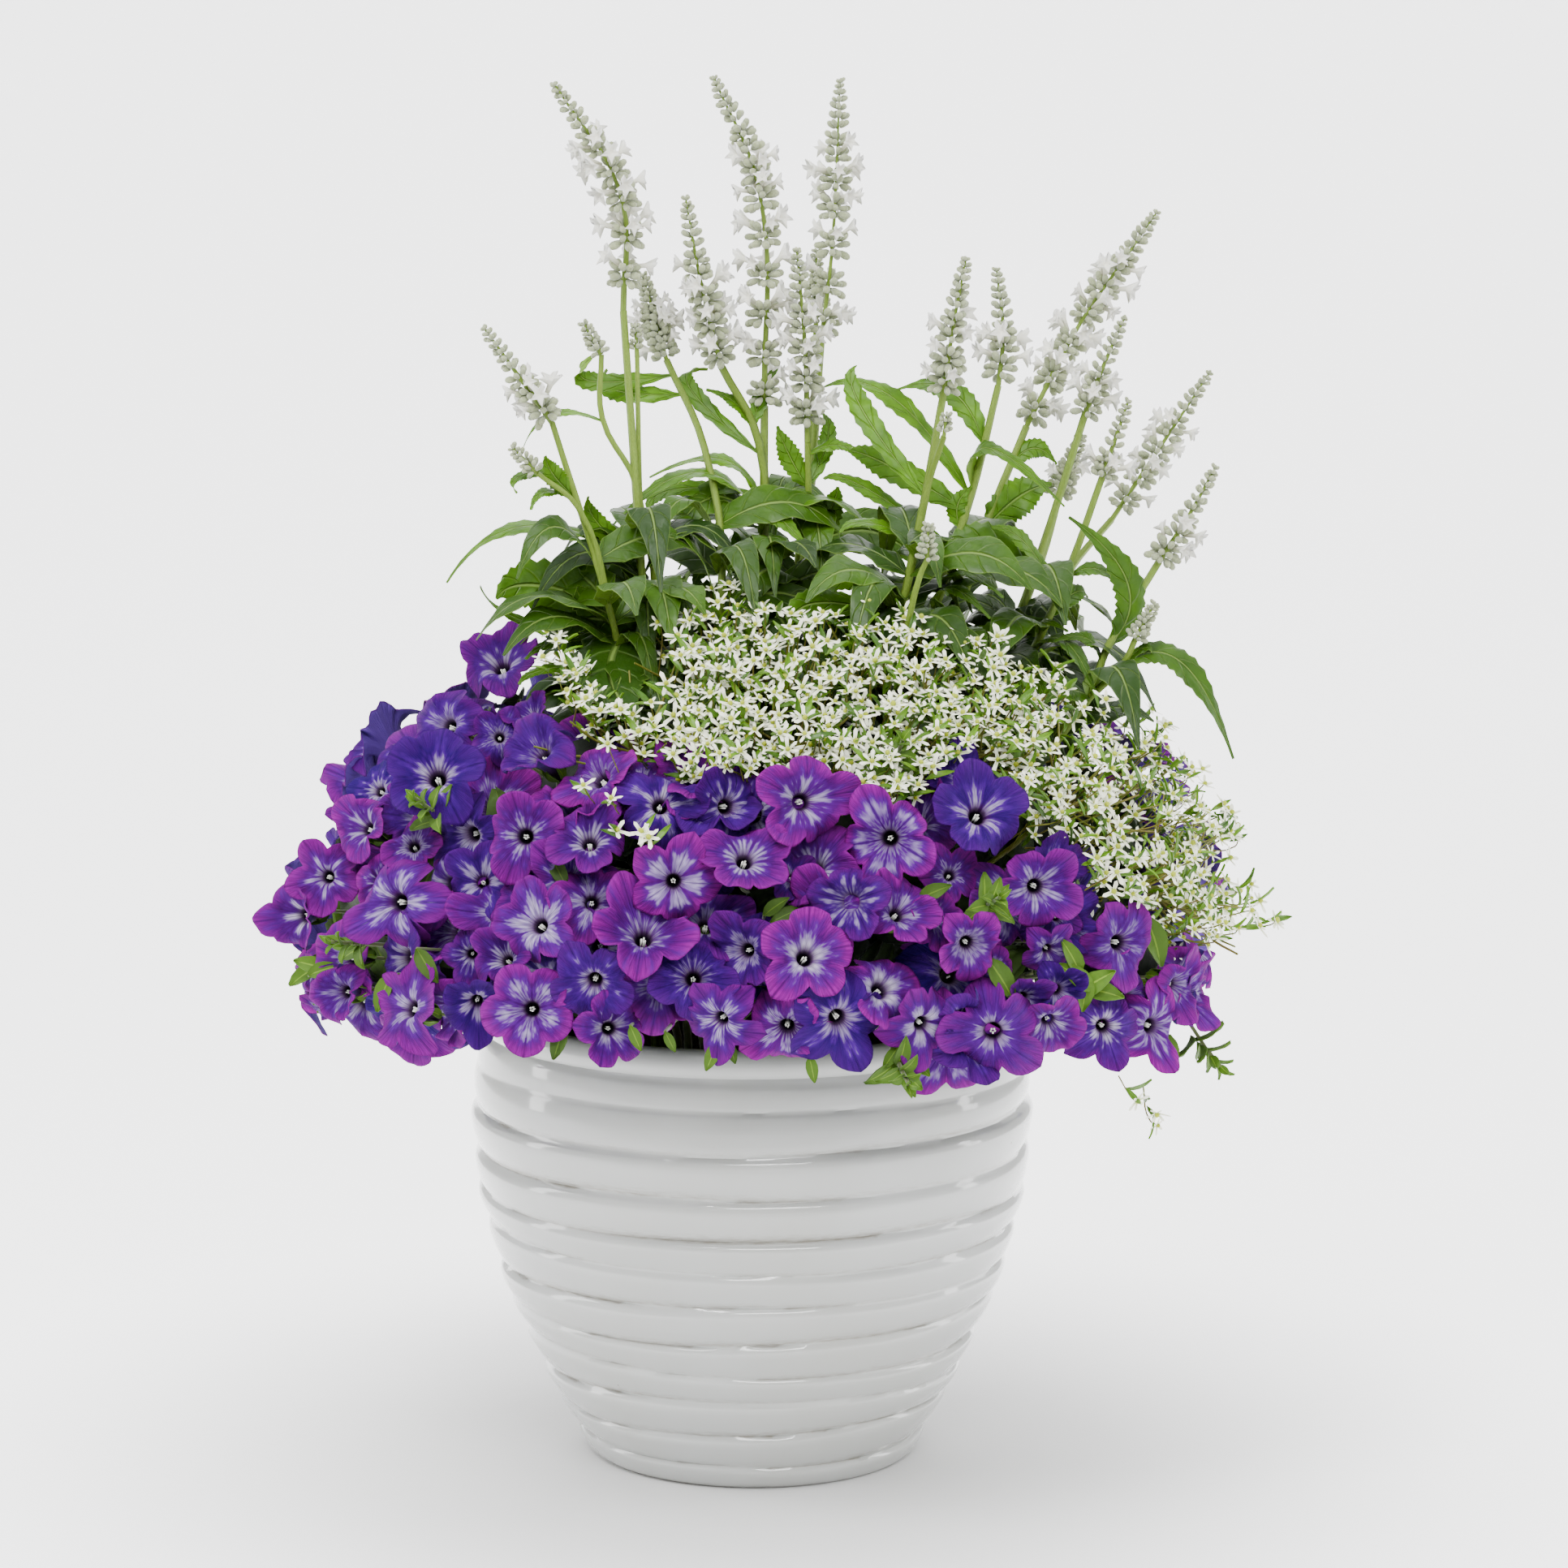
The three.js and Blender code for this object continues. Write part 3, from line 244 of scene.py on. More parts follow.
def rib(vertex):
    """How full the rib is at a point, 0 in a groove and 1 on a crest, how deep the groove
    beside it is cut, and whether the point is on the rib's underside."""
    angle, height = math.atan2(vertex.co.y, vertex.co.x), vertex.co.z
    levels = [0.0]
    for k, groove in enumerate((*POT_GROOVES, RIM_GROOVE)):
        waves = (far * math.sin(times * angle + shift * k) for times, far, shift in GROOVE_WANDER)
        levels.append(groove + sum(waves))
    k = sum(level <= height for level in levels[:-1]) - 1
    low, high = levels[k], levels[k + 1]
    share = min(max((height - low) / (high - low), 0), 1)
    below = share < RIB_CREST
    if below:
        full = math.sin(math.pi / 2 * share / RIB_CREST) ** SWELL_BELOW
    else:
        full = math.cos(math.pi / 2 * (share - RIB_CREST) / (1 - RIB_CREST)) ** SWELL_ABOVE
    cut = k if below else k + 1
    deep = 1 - GROOVE_FADE + GROOVE_FADE * math.sin(2 * angle + 2.1 * cut)
    if cut >= len(POT_GROOVES):
        deep *= TOP_GROOVES
    return full, deep, below


def mark_points(piece, name, values):
    """Gives each point of a piece a number, which its material reads."""
    piece.data.attributes.new(name, "FLOAT", "POINT").data.foreach_set("value", values)


heights = [k * RING_SPACING for k in range(int(RIM_GROOVE / RING_SPACING) + 1)]
outside = [(crest_radius(height), height) for height in heights]
rim = [(crest_radius(RIM_GROOVE) + out, height) for out, height in RIM_ROLL]
inside = [(crest_radius(h) - GROOVE_DEPTH - POT_WALL, h) for h in INSIDE_HEIGHTS]
floor_radius = crest_radius(POT_FLOOR) - GROOVE_DEPTH - POT_WALL
pot = turned("pot_glazed", [*outside, *rim, *inside, (floor_radius, POT_FLOOR)], POT_SIDES)
for vertex in pot.data.vertices:
    height, radius = vertex.co.z, math.hypot(vertex.co.x, vertex.co.y)
    if height < RIM_GROOVE and radius > crest_radius(height) - 0.001:
        full, cut, _ = rib(vertex)
        drawn_in = 1 - GROOVE_DEPTH * cut * (1 - full) / radius
        vertex.co.x *= drawn_in
        vertex.co.y *= drawn_in

for k in range(DRAIN_HOLES):
    turn = math.radians(90 + 360 / DRAIN_HOLES * k)
    drill = added(
        "drill", bpy.ops.mesh.primitive_cylinder_add,
        vertices=32, radius=DRAIN_RADIUS, depth=3 * POT_FLOOR,
        location=(DRAIN_CIRCLE * math.cos(turn), DRAIN_CIRCLE * math.sin(turn), 0),
    )
    bpy.context.view_layer.objects.active = pot
    hole = pot.modifiers.new("drain", "BOOLEAN")
    hole.operation, hole.solver, hole.object = "DIFFERENCE", "EXACT", drill
    bpy.ops.object.modifier_apply(modifier=hole.name)
    bpy.data.objects.remove(drill)

# Painted shade: each rib's underside is marked, most towards its groove, so that the glaze is
# painted darker there.
groove_shades = []
for vertex in pot.data.vertices:
    height, radius = vertex.co.z, math.hypot(vertex.co.x, vertex.co.y)
    groove_shades.append(0.0)
    if height < RIM_GROOVE + 0.003 and radius > crest_radius(min(height, RIM_GROOVE)) - 0.008:
        full, cut, under = rib(vertex)
        groove_shades[-1] = (1 - full) ** 1.2 * cut * under
mark_points(pot, "crease", groove_shades)
bpy.ops.object.select_all(action="DESELECT")
pot.select_set(True)
bpy.ops.object.shade_smooth_by_angle(angle=math.radians(50))

# Stoneware under a glossy milky glaze: pale cool grey where it is thick, a warm clay brown
# painted as shade on each rib's underside by its groove, and pinholes a few tenths of a millimetre
# across, drawn near a millimetre so that they show.
glaze, glaze_shader = new_surface(
    "milky_glaze", Roughness=0.13, IOR=1.5, Coat_Weight=0.6, Coat_Roughness=0.04
)
place = add_node(glaze, "ShaderNodeTexCoord", {}).outputs["Object"]
painted_groove_shade = add_node(glaze, "ShaderNodeAttribute", {}, attribute_name="crease")
cloud = add_node(glaze, "ShaderNodeTexNoise", {"Vector": place, "Scale": 9.0, "Detail": 4.0})
streak = add_node(glaze, "ShaderNodeMapping", {"Vector": place, "Scale": (26, 26, 190)})
fine = add_node(glaze, "ShaderNodeTexNoise", {"Vector": streak.outputs[0], "Detail": 5.0})
thick = add_node(glaze, "ShaderNodeMix", {
    0: cloud.outputs["Fac"], 6: linear("#c0c3c4"), 7: linear("#b0b0aa"),
}, data_type="RGBA")
# Painted shade: where that mark and a streaky noise are strong, the glaze turns warm brown.
groove_shade_share = add_node(glaze, "ShaderNodeMath", {
    0: painted_groove_shade.outputs["Fac"], 1: fine.outputs["Fac"],
}, operation="MULTIPLY")
groove_shade_range = add_node(glaze, "ShaderNodeMapRange", {
    0: groove_shade_share.outputs[0], 1: 0.14, 2: 0.50, 3: 0.0, 4: 0.75,
})
groove_shaded = add_node(glaze, "ShaderNodeMix", {
    0: groove_shade_range.outputs[0], 6: thick.outputs[2], 7: linear("#7d7565"),
}, data_type="RGBA")
pits = add_node(glaze, "ShaderNodeTexVoronoi", {"Vector": place, "Scale": 75.0})
pit_size = add_node(glaze, "ShaderNodeMapRange", {
    0: pits.outputs["Distance"], 1: 0.035, 2: 0.06, 3: 1.0, 4: 0.0,
})
pit_choice = add_node(glaze, "ShaderNodeSeparateColor", {0: pits.outputs["Color"]})
pit_rare = add_node(glaze, "ShaderNodeMath", {
    0: pit_choice.outputs[0], 1: 0.9,
}, operation="GREATER_THAN")
pit_share = add_node(glaze, "ShaderNodeMath", {
    0: pit_size.outputs[0], 1: pit_rare.outputs[0],
}, operation="MULTIPLY")
pitted = add_node(glaze, "ShaderNodeMix", {
    0: pit_share.outputs[0], 6: groove_shaded.outputs[2], 7: linear("#7d7468"),
}, data_type="RGBA")
ripple = add_node(glaze, "ShaderNodeTexNoise", {"Vector": place, "Scale": 28.0, "Detail": 2.0})
relief = add_node(glaze, "ShaderNodeMath", {
    0: ripple.outputs["Fac"], 1: pit_share.outputs[0],
}, operation="SUBTRACT")
swell = add_node(glaze, "ShaderNodeBump", {
    "Strength": 0.25, "Distance": 0.0012, "Height": relief.outputs[0],
})
dress(glaze_shader, pitted.outputs[2], swell.outputs[0])
pot.data.materials.append(glaze)


def hand_over(piece, slot, *nodes):
    """A finished piece rides on the pot and stands for its nodes."""
    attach(piece, "root")
    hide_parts(*nodes)


hand_over(pot, "pot", "pot")

# ---- The soil -----------------------------------------------------------------------
# Dark potting soil with bark and crumbs, which fills the pot to two fingers below its
# rim. It is loose, so its top is lumpy.
SOIL_LEVEL = 0.263
SOIL_RADIUS = 0.1515
SOIL_RINGS = 30
SOIL_SIDES = 120
SOIL_GAP = 0.0004
# Big and small lumps: how high they are, and how many to a metre.
SOIL_LUMPS = ((0.008, 60), (0.004, 160))
soil_rings = [(floor_radius - SOIL_GAP, POT_FLOOR + SOIL_GAP)]
soil_rings += [(radius - SOIL_GAP, height) for radius, height in reversed(inside)]
soil_rings += [(SOIL_RADIUS * (1 - k / SOIL_RINGS), SOIL_LEVEL) for k in range(SOIL_RINGS)]
soil = turned("soil_bed", soil_rings, SOIL_SIDES)
for vertex in soil.data.vertices:
    if vertex.co.z > SOIL_LEVEL - 0.0005:
        vertex.co.z += sum(high * noise.noise(vertex.co * many) for high, many in SOIL_LUMPS)
bpy.ops.object.shade_smooth_by_angle(angle=math.radians(60))
peat, peat_shader = new_surface("damp_peat", Roughness=0.95)
place = add_node(peat, "ShaderNodeTexCoord", {}).outputs["Object"]
crumb = add_node(peat, "ShaderNodeTexNoise", {"Vector": place, "Scale": 220.0, "Detail": 6.0})
earth = add_node(peat, "ShaderNodeMix", {
    0: crumb.outputs["Fac"], 6: linear("#120d09"), 7: linear("#4a3a2b"),
}, data_type="RGBA")
rough = add_node(peat, "ShaderNodeBump", {"Distance": 0.003, "Height": crumb.outputs["Fac"]})
dress(peat_shader, earth.outputs[2], rough.outputs[0])
soil.data.materials.append(peat)
hand_over(soil, "soil", "soil")

# ---- The salvias' stems and leaves --------------------------------------------------
# Four salvia plants stand in the soil behind the middle. Each has square stems that part
# at a crown, and toothed lance leaves on short stalks that arch out and hang over.
# A stem is its spike's breadth in millimetres, the spike's points from its tip down, and
# the stem's own points from there to the crown. Buds are spikes that aren't open yet.
# Points are (column, row, millimetres behind the axis) in the frame.
MM = 0.001
UP = Vector((0, 0, 1))
TOWARDS_EYE = Vector((0, -1, 0.15)).normalized()
SALVIAS = {
    "left": {
        "foot": (-58, -38), "crown": 400,
        "stems": (
            (15, ((684, 105, -60), (765, 240, -50), (768, 383, -40)), ((790, 700, -60),)),
            (14, ((597, 405, -90), (638, 462, -90), (680, 520, -85)), ((752, 755, -80),)),
            (9, ((792, 340, 10), (821, 443, 0)), ((868, 552, -10), (888, 743, -40))),
            (7, ((720, 400, -60), (741, 437, -60)), ((742, 515, -60), (785, 600, -55))),
            (7, ((632, 552, -100), (662, 583, -100)), ((712, 625, -90), (752, 755, -80))),
        ),
        "buds": ((5, ((783, 402, -40), (785, 440, -40)), ((788, 600, -50),)),),
    },
    "middle": {
        "foot": (4, 30), "crown": 420,
        "stems": (
            (16, ((880, 97, 20), (935, 230, 20), (942, 500, 10)), ((940, 710, 0),)),
            (15, ((1035, 100, 70), (1025, 310, 60), (1012, 420, 55)), ((990, 690, 40),)),
            (15, ((845, 245, -20), (862, 340, -20), (888, 450, -10)),
             ((935, 545, 0), (940, 710, 0))),
            (16, ((982, 310, 0), (992, 430, 0), (995, 545, 0)), ((994, 679, 10),)),
        ),
        "buds": ((6, ((1006, 310, 100), (1006, 380, 98)), ((1000, 520, 80),)),),
    },
    "front": {
        "foot": (62, -28), "crown": 400,
        "stems": (
            (16, ((1190, 320, -60), (1175, 400, -55), (1163, 482, -50)), ((1133, 647, -45),)),
            (15, ((1228, 333, 20), (1236, 410, 15), (1230, 475, 10)), ((1197, 609, 0),)),
            (7, ((1144, 648, -110), (1142, 690, -108)), ((1133, 711, -105), (1114, 794, -90))),
        ),
        "buds": ((6, ((1166, 512, -70), (1163, 538, -68)), ((1143, 600, -50),)),),
    },
    "right": {
        "foot": (96, 46), "crown": 400,
        "stems": (
            (15, ((1425, 262, 110), (1385, 320, 100), (1330, 400, 90), (1265, 525, 70)),
             ((1215, 650, 55),)),
            (14, ((1385, 393, 40), (1360, 450, 40), (1338, 507, 40)),
             ((1283, 679, 35), (1248, 775, 25))),
            (12, ((1490, 460, 130), (1430, 550, 120), (1370, 640, 110)),
             ((1320, 700, 90), (1290, 760, 70))),
            (13, ((1390, 495, 0), (1358, 588, 0)), ((1318, 699, 0), (1267, 813, 0))),
            (15, ((1497, 577, -20), (1462, 640, -20), (1428, 692, -20)),
             ((1363, 801, -20), (1340, 862, -20))),
            (10, ((1332, 538, 70), (1308, 600, 65)), ((1283, 690, 50),)),
            (7, ((1422, 745, -40), (1400, 785, -40)), ((1384, 818, -35), (1340, 862, -20))),
        ),
        "buds": (),
    },
}
# A leaf is its base, middle and tip as column and row, its width in pixels, how many
# millimetres its tip comes forward, and how far its blade faces the eye.
SALVIA_LEAVES = {}
SALVIA_LEAVES["left"] = (
    (731, 692, 648, 648, 550, 718, 26, 20, 0.3), (728, 765, 668, 722, 612, 738, 62, 30, 0.9),
    (735, 780, 655, 768, 592, 722, 14, 40, 0.5), (730, 765, 752, 822, 789, 895, 90, 118, 1.0),
    (752, 772, 696, 786, 648, 812, 16, 45, 0.5), (705, 805, 675, 824, 640, 843, 15, 60, 0.5),
    (752, 772, 728, 745, 712, 722, 40, 25, 0.9), (768, 770, 786, 738, 808, 728, 15, 30, 0.6),
    (742, 515, 682, 510, 645, 550, 14, -10, 0.3), (742, 500, 722, 468, 742, 430, 22, 10, 0.9),
    (785, 510, 756, 480, 748, 455, 24, -20, 0.9), (705, 605, 682, 585, 672, 562, 24, 20, 0.9),
    (708, 608, 672, 606, 654, 628, 16, 20, 0.4), (662, 585, 640, 587, 637, 608, 12, 5, 0.6),
    (755, 690, 737, 645, 725, 612, 22, 20, 0.9), (785, 745, 768, 700, 782, 655, 34, 10, 0.9),
)
SALVIA_LEAVES["middle"] = (
    (938, 640, 858, 582, 752, 650, 28, 40, 0.35), (946, 622, 890, 566, 800, 588, 24, 0, 0.3),
    (885, 652, 848, 634, 798, 652, 18, 30, 0.4), (892, 662, 955, 636, 1002, 686, 26, 40, 0.4),
    (870, 610, 826, 604, 800, 640, 22, 20, 0.5), (884, 735, 845, 750, 852, 702, 72, 10, 1),
    (890, 700, 882, 690, 853, 728, 30, 10, 0.9), (940, 710, 918, 690, 905, 652, 38, -10, 0.9),
    (925, 520, 903, 494, 870, 480, 15, 0, 0.5), (992, 600, 972, 560, 958, 525, 26, 10, 0.9),
    (1000, 600, 1020, 540, 1012, 508, 20, -20, 0.9), (992, 690, 1022, 632, 1032, 600, 30, 10, 0.9),
    (998, 560, 1030, 548, 1062, 562, 18, 10, 0.5), (940, 520, 942, 480, 960, 450, 20, -30, 0.9),
    (890, 560, 850, 478, 872, 455, 20, -30, 0.8),
)
SALVIA_LEAVES["front"] = (
    (1143, 594, 1100, 490, 1012, 478, 30, -10, 0.4),
    (1198, 545, 1172, 482, 1105, 480, 30, -20, 0.7),
    (1150, 594, 1218, 552, 1312, 624, 30, 20, 0.35), (1140, 612, 1092, 572, 1045, 556, 34, 20, 0.8),
    (1185, 650, 1180, 622, 1197, 600, 24, 0, 1), (1110, 655, 1068, 602, 1015, 590, 22, 20, 0.5),
    (1125, 672, 1080, 646, 1035, 656, 22, 40, 0.4), (1140, 722, 1186, 704, 1236, 736, 20, 60, 0.4),
    (1135, 745, 1172, 724, 1220, 762, 22, 50, 0.4), (1125, 718, 1082, 722, 1052, 768, 30, 60, 0.7),
    (1105, 745, 1040, 716, 1000, 778, 26, 50, 0.5), (1105, 800, 1095, 758, 1088, 712, 50, 20, 1),
    (1105, 800, 1066, 772, 1020, 768, 26, 50, 0.6), (1140, 805, 1162, 770, 1150, 738, 34, 20, 0.9),
    (1140, 808, 1186, 826, 1226, 846, 36, 60, 0.8), (1075, 600, 1060, 500, 1055, 450, 26, -20, 0.8),
    (1040, 745, 1000, 744, 978, 788, 34, 50, 0.8), (1130, 790, 1195, 778, 1212, 806, 24, 50, 0.5),
)
SALVIA_LEAVES["right"] = (
    (1226, 650, 1256, 612, 1296, 596, 44, 0, 0.9), (1240, 560, 1275, 552, 1302, 572, 26, 0, 0.7),
    (1276, 720, 1262, 668, 1222, 650, 24, 20, 0.5), (1248, 705, 1210, 668, 1168, 690, 46, 10, 0.9),
    (1290, 736, 1345, 700, 1411, 748, 22, 20, 0.4), (1364, 796, 1390, 720, 1317, 637, 36, 10, 0.7),
    (1378, 828, 1450, 812, 1520, 935, 36, 20, 0.5), (1262, 800, 1312, 790, 1353, 862, 22, 50, 0.4),
    (1365, 818, 1338, 786, 1298, 790, 18, 10, 0.5), (1372, 830, 1392, 850, 1386, 896, 20, 20, 0.8),
    (1350, 860, 1312, 850, 1288, 866, 34, 40, 0.7), (1288, 760, 1325, 730, 1340, 736, 24, -10, 0.7),
    (1255, 772, 1285, 765, 1316, 778, 12, 30, 0.5), (1252, 820, 1275, 832, 1290, 870, 20, 50, 0.8),
    (1380, 826, 1405, 800, 1420, 805, 14, 10, 0.5), (1236, 740, 1212, 790, 1228, 830, 30, 20, 0.9),
)
# Leaves on the side away from the eye: turn round the stem, height and reach.
BACK_LEAVES = ((30, 470, 74), (75, 520, 66), (118, 455, 78), (152, 560, 60))
BACK_LEAF_WIDTH = 24
ROOT_BOTTOM = 0.232
FORK_SPACING = 11
# Stem radii in millimetres: at the crown, on a stem by its spike's breadth, and at a tip.
CROWN_THICK = (4.2, 4.0)
STEM_THICK = 2.1
STEM_TO_SPIKE = 0.07
TIP_THICK = 0.7
# Half a leaf stalk's width, and how many teeth stand along a leaf's edge.
LEAF_STALK = 0.0011
TEETH = 13
# Teeth, fold along the midrib and waves at the edge, as shares of a blade's half width.
TOOTH_DEPTH = 0.34
BLADE_FOLD = 0.26
BLADE_WAVE = 0.16
# A blade's thickness in its flat blank, the metres for a depth of 1 there, and how much
# broader it is than it looks, because it is folded.
BLADE_THICKNESS = 0.07
BLADE_DEPTH = 0.006
BLADE_FULL = 1.2
# The lowest leaves stand in shade and those at the top in full light, and this is painted into
# their green: dark low down, light high up. The leaf that hangs far forward over the froth is given
# the darkest green.
SHADE_HEIGHT = 0.44
SHADE_FADE = 0.16
HANGING_LEAF_FORWARD = 100
HANGING_LEAF_TONE = 0.12
# Pairs of leaves up each stem to these heights, every pair square to the one below it.
PAIR_HEIGHTS = {"left": 0.588, "middle": 0.585, "front": 0.578, "right": 0.552}
LOWEST_PAIR = 0.452
PAIR_SPACING = 0.026
BARE_UNDER_SPIKE = 0.070


def seen_at(column, row, behind=0.0):
    """The point that shows at a pixel, so many millimetres behind the pot's axis."""
    across, down = column - FRAME_PIXELS / 2, row - FRAME_PIXELS / 2
    forward = FOCAL_PIXELS * math.cos(EYE_PITCH) - down * math.sin(EYE_PITCH)
    rise = -FOCAL_PIXELS * math.sin(EYE_PITCH) - down * math.cos(EYE_PITCH)
    return EYE + Vector((across, forward, rise)) * ((behind * MM - EYE.y) / forward)


def nearest_on_stems(lines, place):
    """The point of a plant's stems that is nearest to a place."""
    nearest = []
    for line in lines:
        for start, end in zip(line, line[1:]):
            point, share = intersect_point_line(place, start, end)
            held = start.lerp(end, min(max(share, 0), 1))
            nearest.append(((held - place).length, held))
    return min(nearest, key=lambda found: found[0])[1]


def at_height(line, height):
    """The point of a stem's line at a height."""
    for start, end in zip(line, line[1:]):
        if height <= end.z:
            break
    return start.lerp(end, min(max((height - start.z) / (end.z - start.z), 0), 1))


def stalks(label, lines, sides=2):
    """Stems as one piece: a curve through each line of places, with a radius at each end of
    it in millimetres."""
    piece = added(label, bpy.ops.curve.primitive_bezier_curve_add)
    piece.data.splines.clear()
    for places, thick, thin in lines:
        line = piece.data.splines.new("BEZIER")
        line.bezier_points.add(len(places) - 1)
        for knot, place in zip(line.bezier_points, places):
            knot.co = place
        for k, knot in enumerate(line.bezier_points):
            knot.handle_left_type = knot.handle_right_type = "AUTO"
            knot.radius = thick + (thin - thick) * k / (len(places) - 1)
    piece.data.resolution_u = 5
    piece.data.bevel_depth = MM
    piece.data.bevel_resolution = sides // 2 - 1
    piece.data.use_fill_caps = True
    bpy.ops.object.convert(target="MESH")
    return piece


def own_copy(blank, tone):
    """A copy of a modelled blank with its own mesh and its own shade."""
    piece = blank.copy()
    piece.data = blank.data.copy()
    mark_points(piece, "tone", [tone] * len(piece.data.vertices))
    bpy.context.collection.objects.link(piece)
    return piece


def joined(label, parts):
    """Many parts as one piece."""
    bpy.ops.object.select_all(action="DESELECT")
    for part in parts:
        part.select_set(True)
    bpy.context.view_layer.objects.active = parts[0]
    bpy.ops.object.join()
    parts[0].name = label
    return parts[0]


def bent_leaf(blank, places, width, facing, tone):
    """A leaf: a copy of a flat blank, laid along its arch, toothed, folded and waved."""
    start, middle, end = places
    knee = 2 * middle - (start + end) / 2
    hint = UP.lerp(TOWARDS_EYE, facing).normalized()
    level = (end - start).normalized().cross(hint)
    phase = 40 * tone + 9 * width / MM
    leaf = own_copy(blank, tone)
    for vertex in leaf.data.vertices:
        side, share, deep = vertex.co.x, (vertex.co.y + 1) / 2, vertex.co.z
        place = start * (1 - share) ** 2 + knee * 2 * share * (1 - share) + end * share**2
        along = ((knee - start) * (1 - share) + (end - knee) * share).normalized()
        across = (level - along * level.dot(along)).normalized()
        lift = across.cross(along)
        tooth = 1 + TOOTH_DEPTH * ((share * TEETH) % 1 - 0.5) * abs(side) ** 3
        half = max(width / 2 * math.sin(math.pi * share**0.8), LEAF_STALK) * tooth
        wave = BLADE_WAVE * side**2 * math.sin(15 * share + phase + 1.6 * side)
        fold = BLADE_FOLD * (abs(side) - side**2)
        raised = half * (fold + wave) + deep * BLADE_DEPTH
        vertex.co = place + across * (side * half) + lift * raised
    return leaf


def flat_blade(label, wide, long, thickness):
    """A thin flat blade, of so many panels across and along."""
    piece = added(
        label, bpy.ops.mesh.primitive_grid_add, x_subdivisions=wide, y_subdivisions=long, size=2
    )
    blade = piece.modifiers.new("blade", "SOLIDIFY")
    blade.thickness, blade.offset = thickness, -1
    bpy.ops.object.modifier_apply(modifier=blade.name)
    return piece


def toothed_blank(label, wide, long):
    """A flat blade with its underside marked, to bend into leaves."""
    piece = flat_blade(label, wide, long, BLADE_THICKNESS)
    bpy.ops.object.shade_smooth_by_angle(angle=math.radians(60))
    under = [float(point.co.z < -BLADE_THICKNESS / 2) for point in piece.data.vertices]
    mark_points(piece, "under", under)
    return piece


leaf_blank = toothed_blank("salvia_leaf_blank", 6, 2 * TEETH)
small_blank = toothed_blank("salvia_small_leaf_blank", 4, TEETH)

# Leathery leaf: deep glossy green above, with paler sunk veins, a pale edge that is a painted
# highlight, and a soft light green below. Its green is painted lighter high on the stems and darker
# low down, as painted light and shade, with a little random variation.
salvia_leaf, salvia_leaf_shader = new_surface(
    "salvia_leaf", Roughness=0.42, Specular_IOR_Level=0.28
)
place = add_node(salvia_leaf, "ShaderNodeTexCoord", {})
across_leaf = add_node(salvia_leaf, "ShaderNodeSeparateXYZ", {0: place.outputs["UV"]})
side = add_node(salvia_leaf, "ShaderNodeMath", {
    0: across_leaf.outputs[0], 1: 0.5,
}, operation="SUBTRACT")
side = add_node(salvia_leaf, "ShaderNodeMath", {0: side.outputs[0]}, operation="ABSOLUTE")
slant = add_node(salvia_leaf, "ShaderNodeMath", {
    0: side.outputs[0], 1: -0.34, 2: across_leaf.outputs[1],
}, operation="MULTIPLY_ADD")
rows = add_node(salvia_leaf, "ShaderNodeMath", {
    0: slant.outputs[0], 1: 0.083,
}, operation="PINGPONG")
vein = add_node(salvia_leaf, "ShaderNodeMapRange", {
    0: rows.outputs[0], 1: 0.0, 2: 0.014, 3: 1.0, 4: 0.0,
})
rib_line = add_node(salvia_leaf, "ShaderNodeMapRange", {
    0: side.outputs[0], 1: 0.015, 2: 0.05, 3: 1.0, 4: 0.0,
})
# Painted highlight: a pale line along the blade's edge.
edge_highlight = add_node(salvia_leaf, "ShaderNodeMapRange", {
    0: side.outputs[0], 1: 0.46, 2: 0.5, 3: 0.0, 4: 0.6,
})
faint_vein = add_node(salvia_leaf, "ShaderNodeMath", {
    0: vein.outputs[0], 1: 0.30,
}, operation="MULTIPLY")
lines = add_node(salvia_leaf, "ShaderNodeMath", {
    0: faint_vein.outputs[0], 1: rib_line.outputs[0],
}, operation="MAXIMUM")
pale = add_node(salvia_leaf, "ShaderNodeMath", {
    0: lines.outputs[0], 1: edge_highlight.outputs[0],
}, operation="MAXIMUM")
tone = add_node(salvia_leaf, "ShaderNodeAttribute", {}, attribute_name="tone")
below = add_node(salvia_leaf, "ShaderNodeAttribute", {}, attribute_name="under")
mottle = add_node(salvia_leaf, "ShaderNodeTexNoise", {
    "Vector": place.outputs["Object"], "Scale": 70.0, "Detail": 3.0,
})
green = add_node(salvia_leaf, "ShaderNodeMix", {
    0: tone.outputs["Fac"], 6: linear("#0e2206"), 7: linear("#6ca400"),
}, data_type="RGBA")
light_below = add_node(salvia_leaf, "ShaderNodeMath", {
    0: below.outputs["Fac"], 1: 0.6,
}, operation="MULTIPLY")
pale_share = add_node(salvia_leaf, "ShaderNodeMath", {
    0: pale.outputs[0], 1: 0.45,
}, operation="MULTIPLY")
for share, code in ((mottle, "#1c3a06"), (light_below, "#7a9f34"), (pale_share, "#93b256")):
    green = add_node(salvia_leaf, "ShaderNodeMix", {
        0: share.outputs[0], 6: green.outputs[2], 7: linear(code),
    }, data_type="RGBA")
sunk = add_node(salvia_leaf, "ShaderNodeMath", {
    0: mottle.outputs["Fac"], 1: lines.outputs[0],
}, operation="SUBTRACT")
quilted = add_node(salvia_leaf, "ShaderNodeBump", {
    "Strength": 0.9, "Distance": 0.0024, "Height": sunk.outputs[0],
})
dress(salvia_leaf_shader, green.outputs[2], quilted.outputs[0])
for blank in (leaf_blank, small_blank):
    blank.data.materials.append(salvia_leaf)

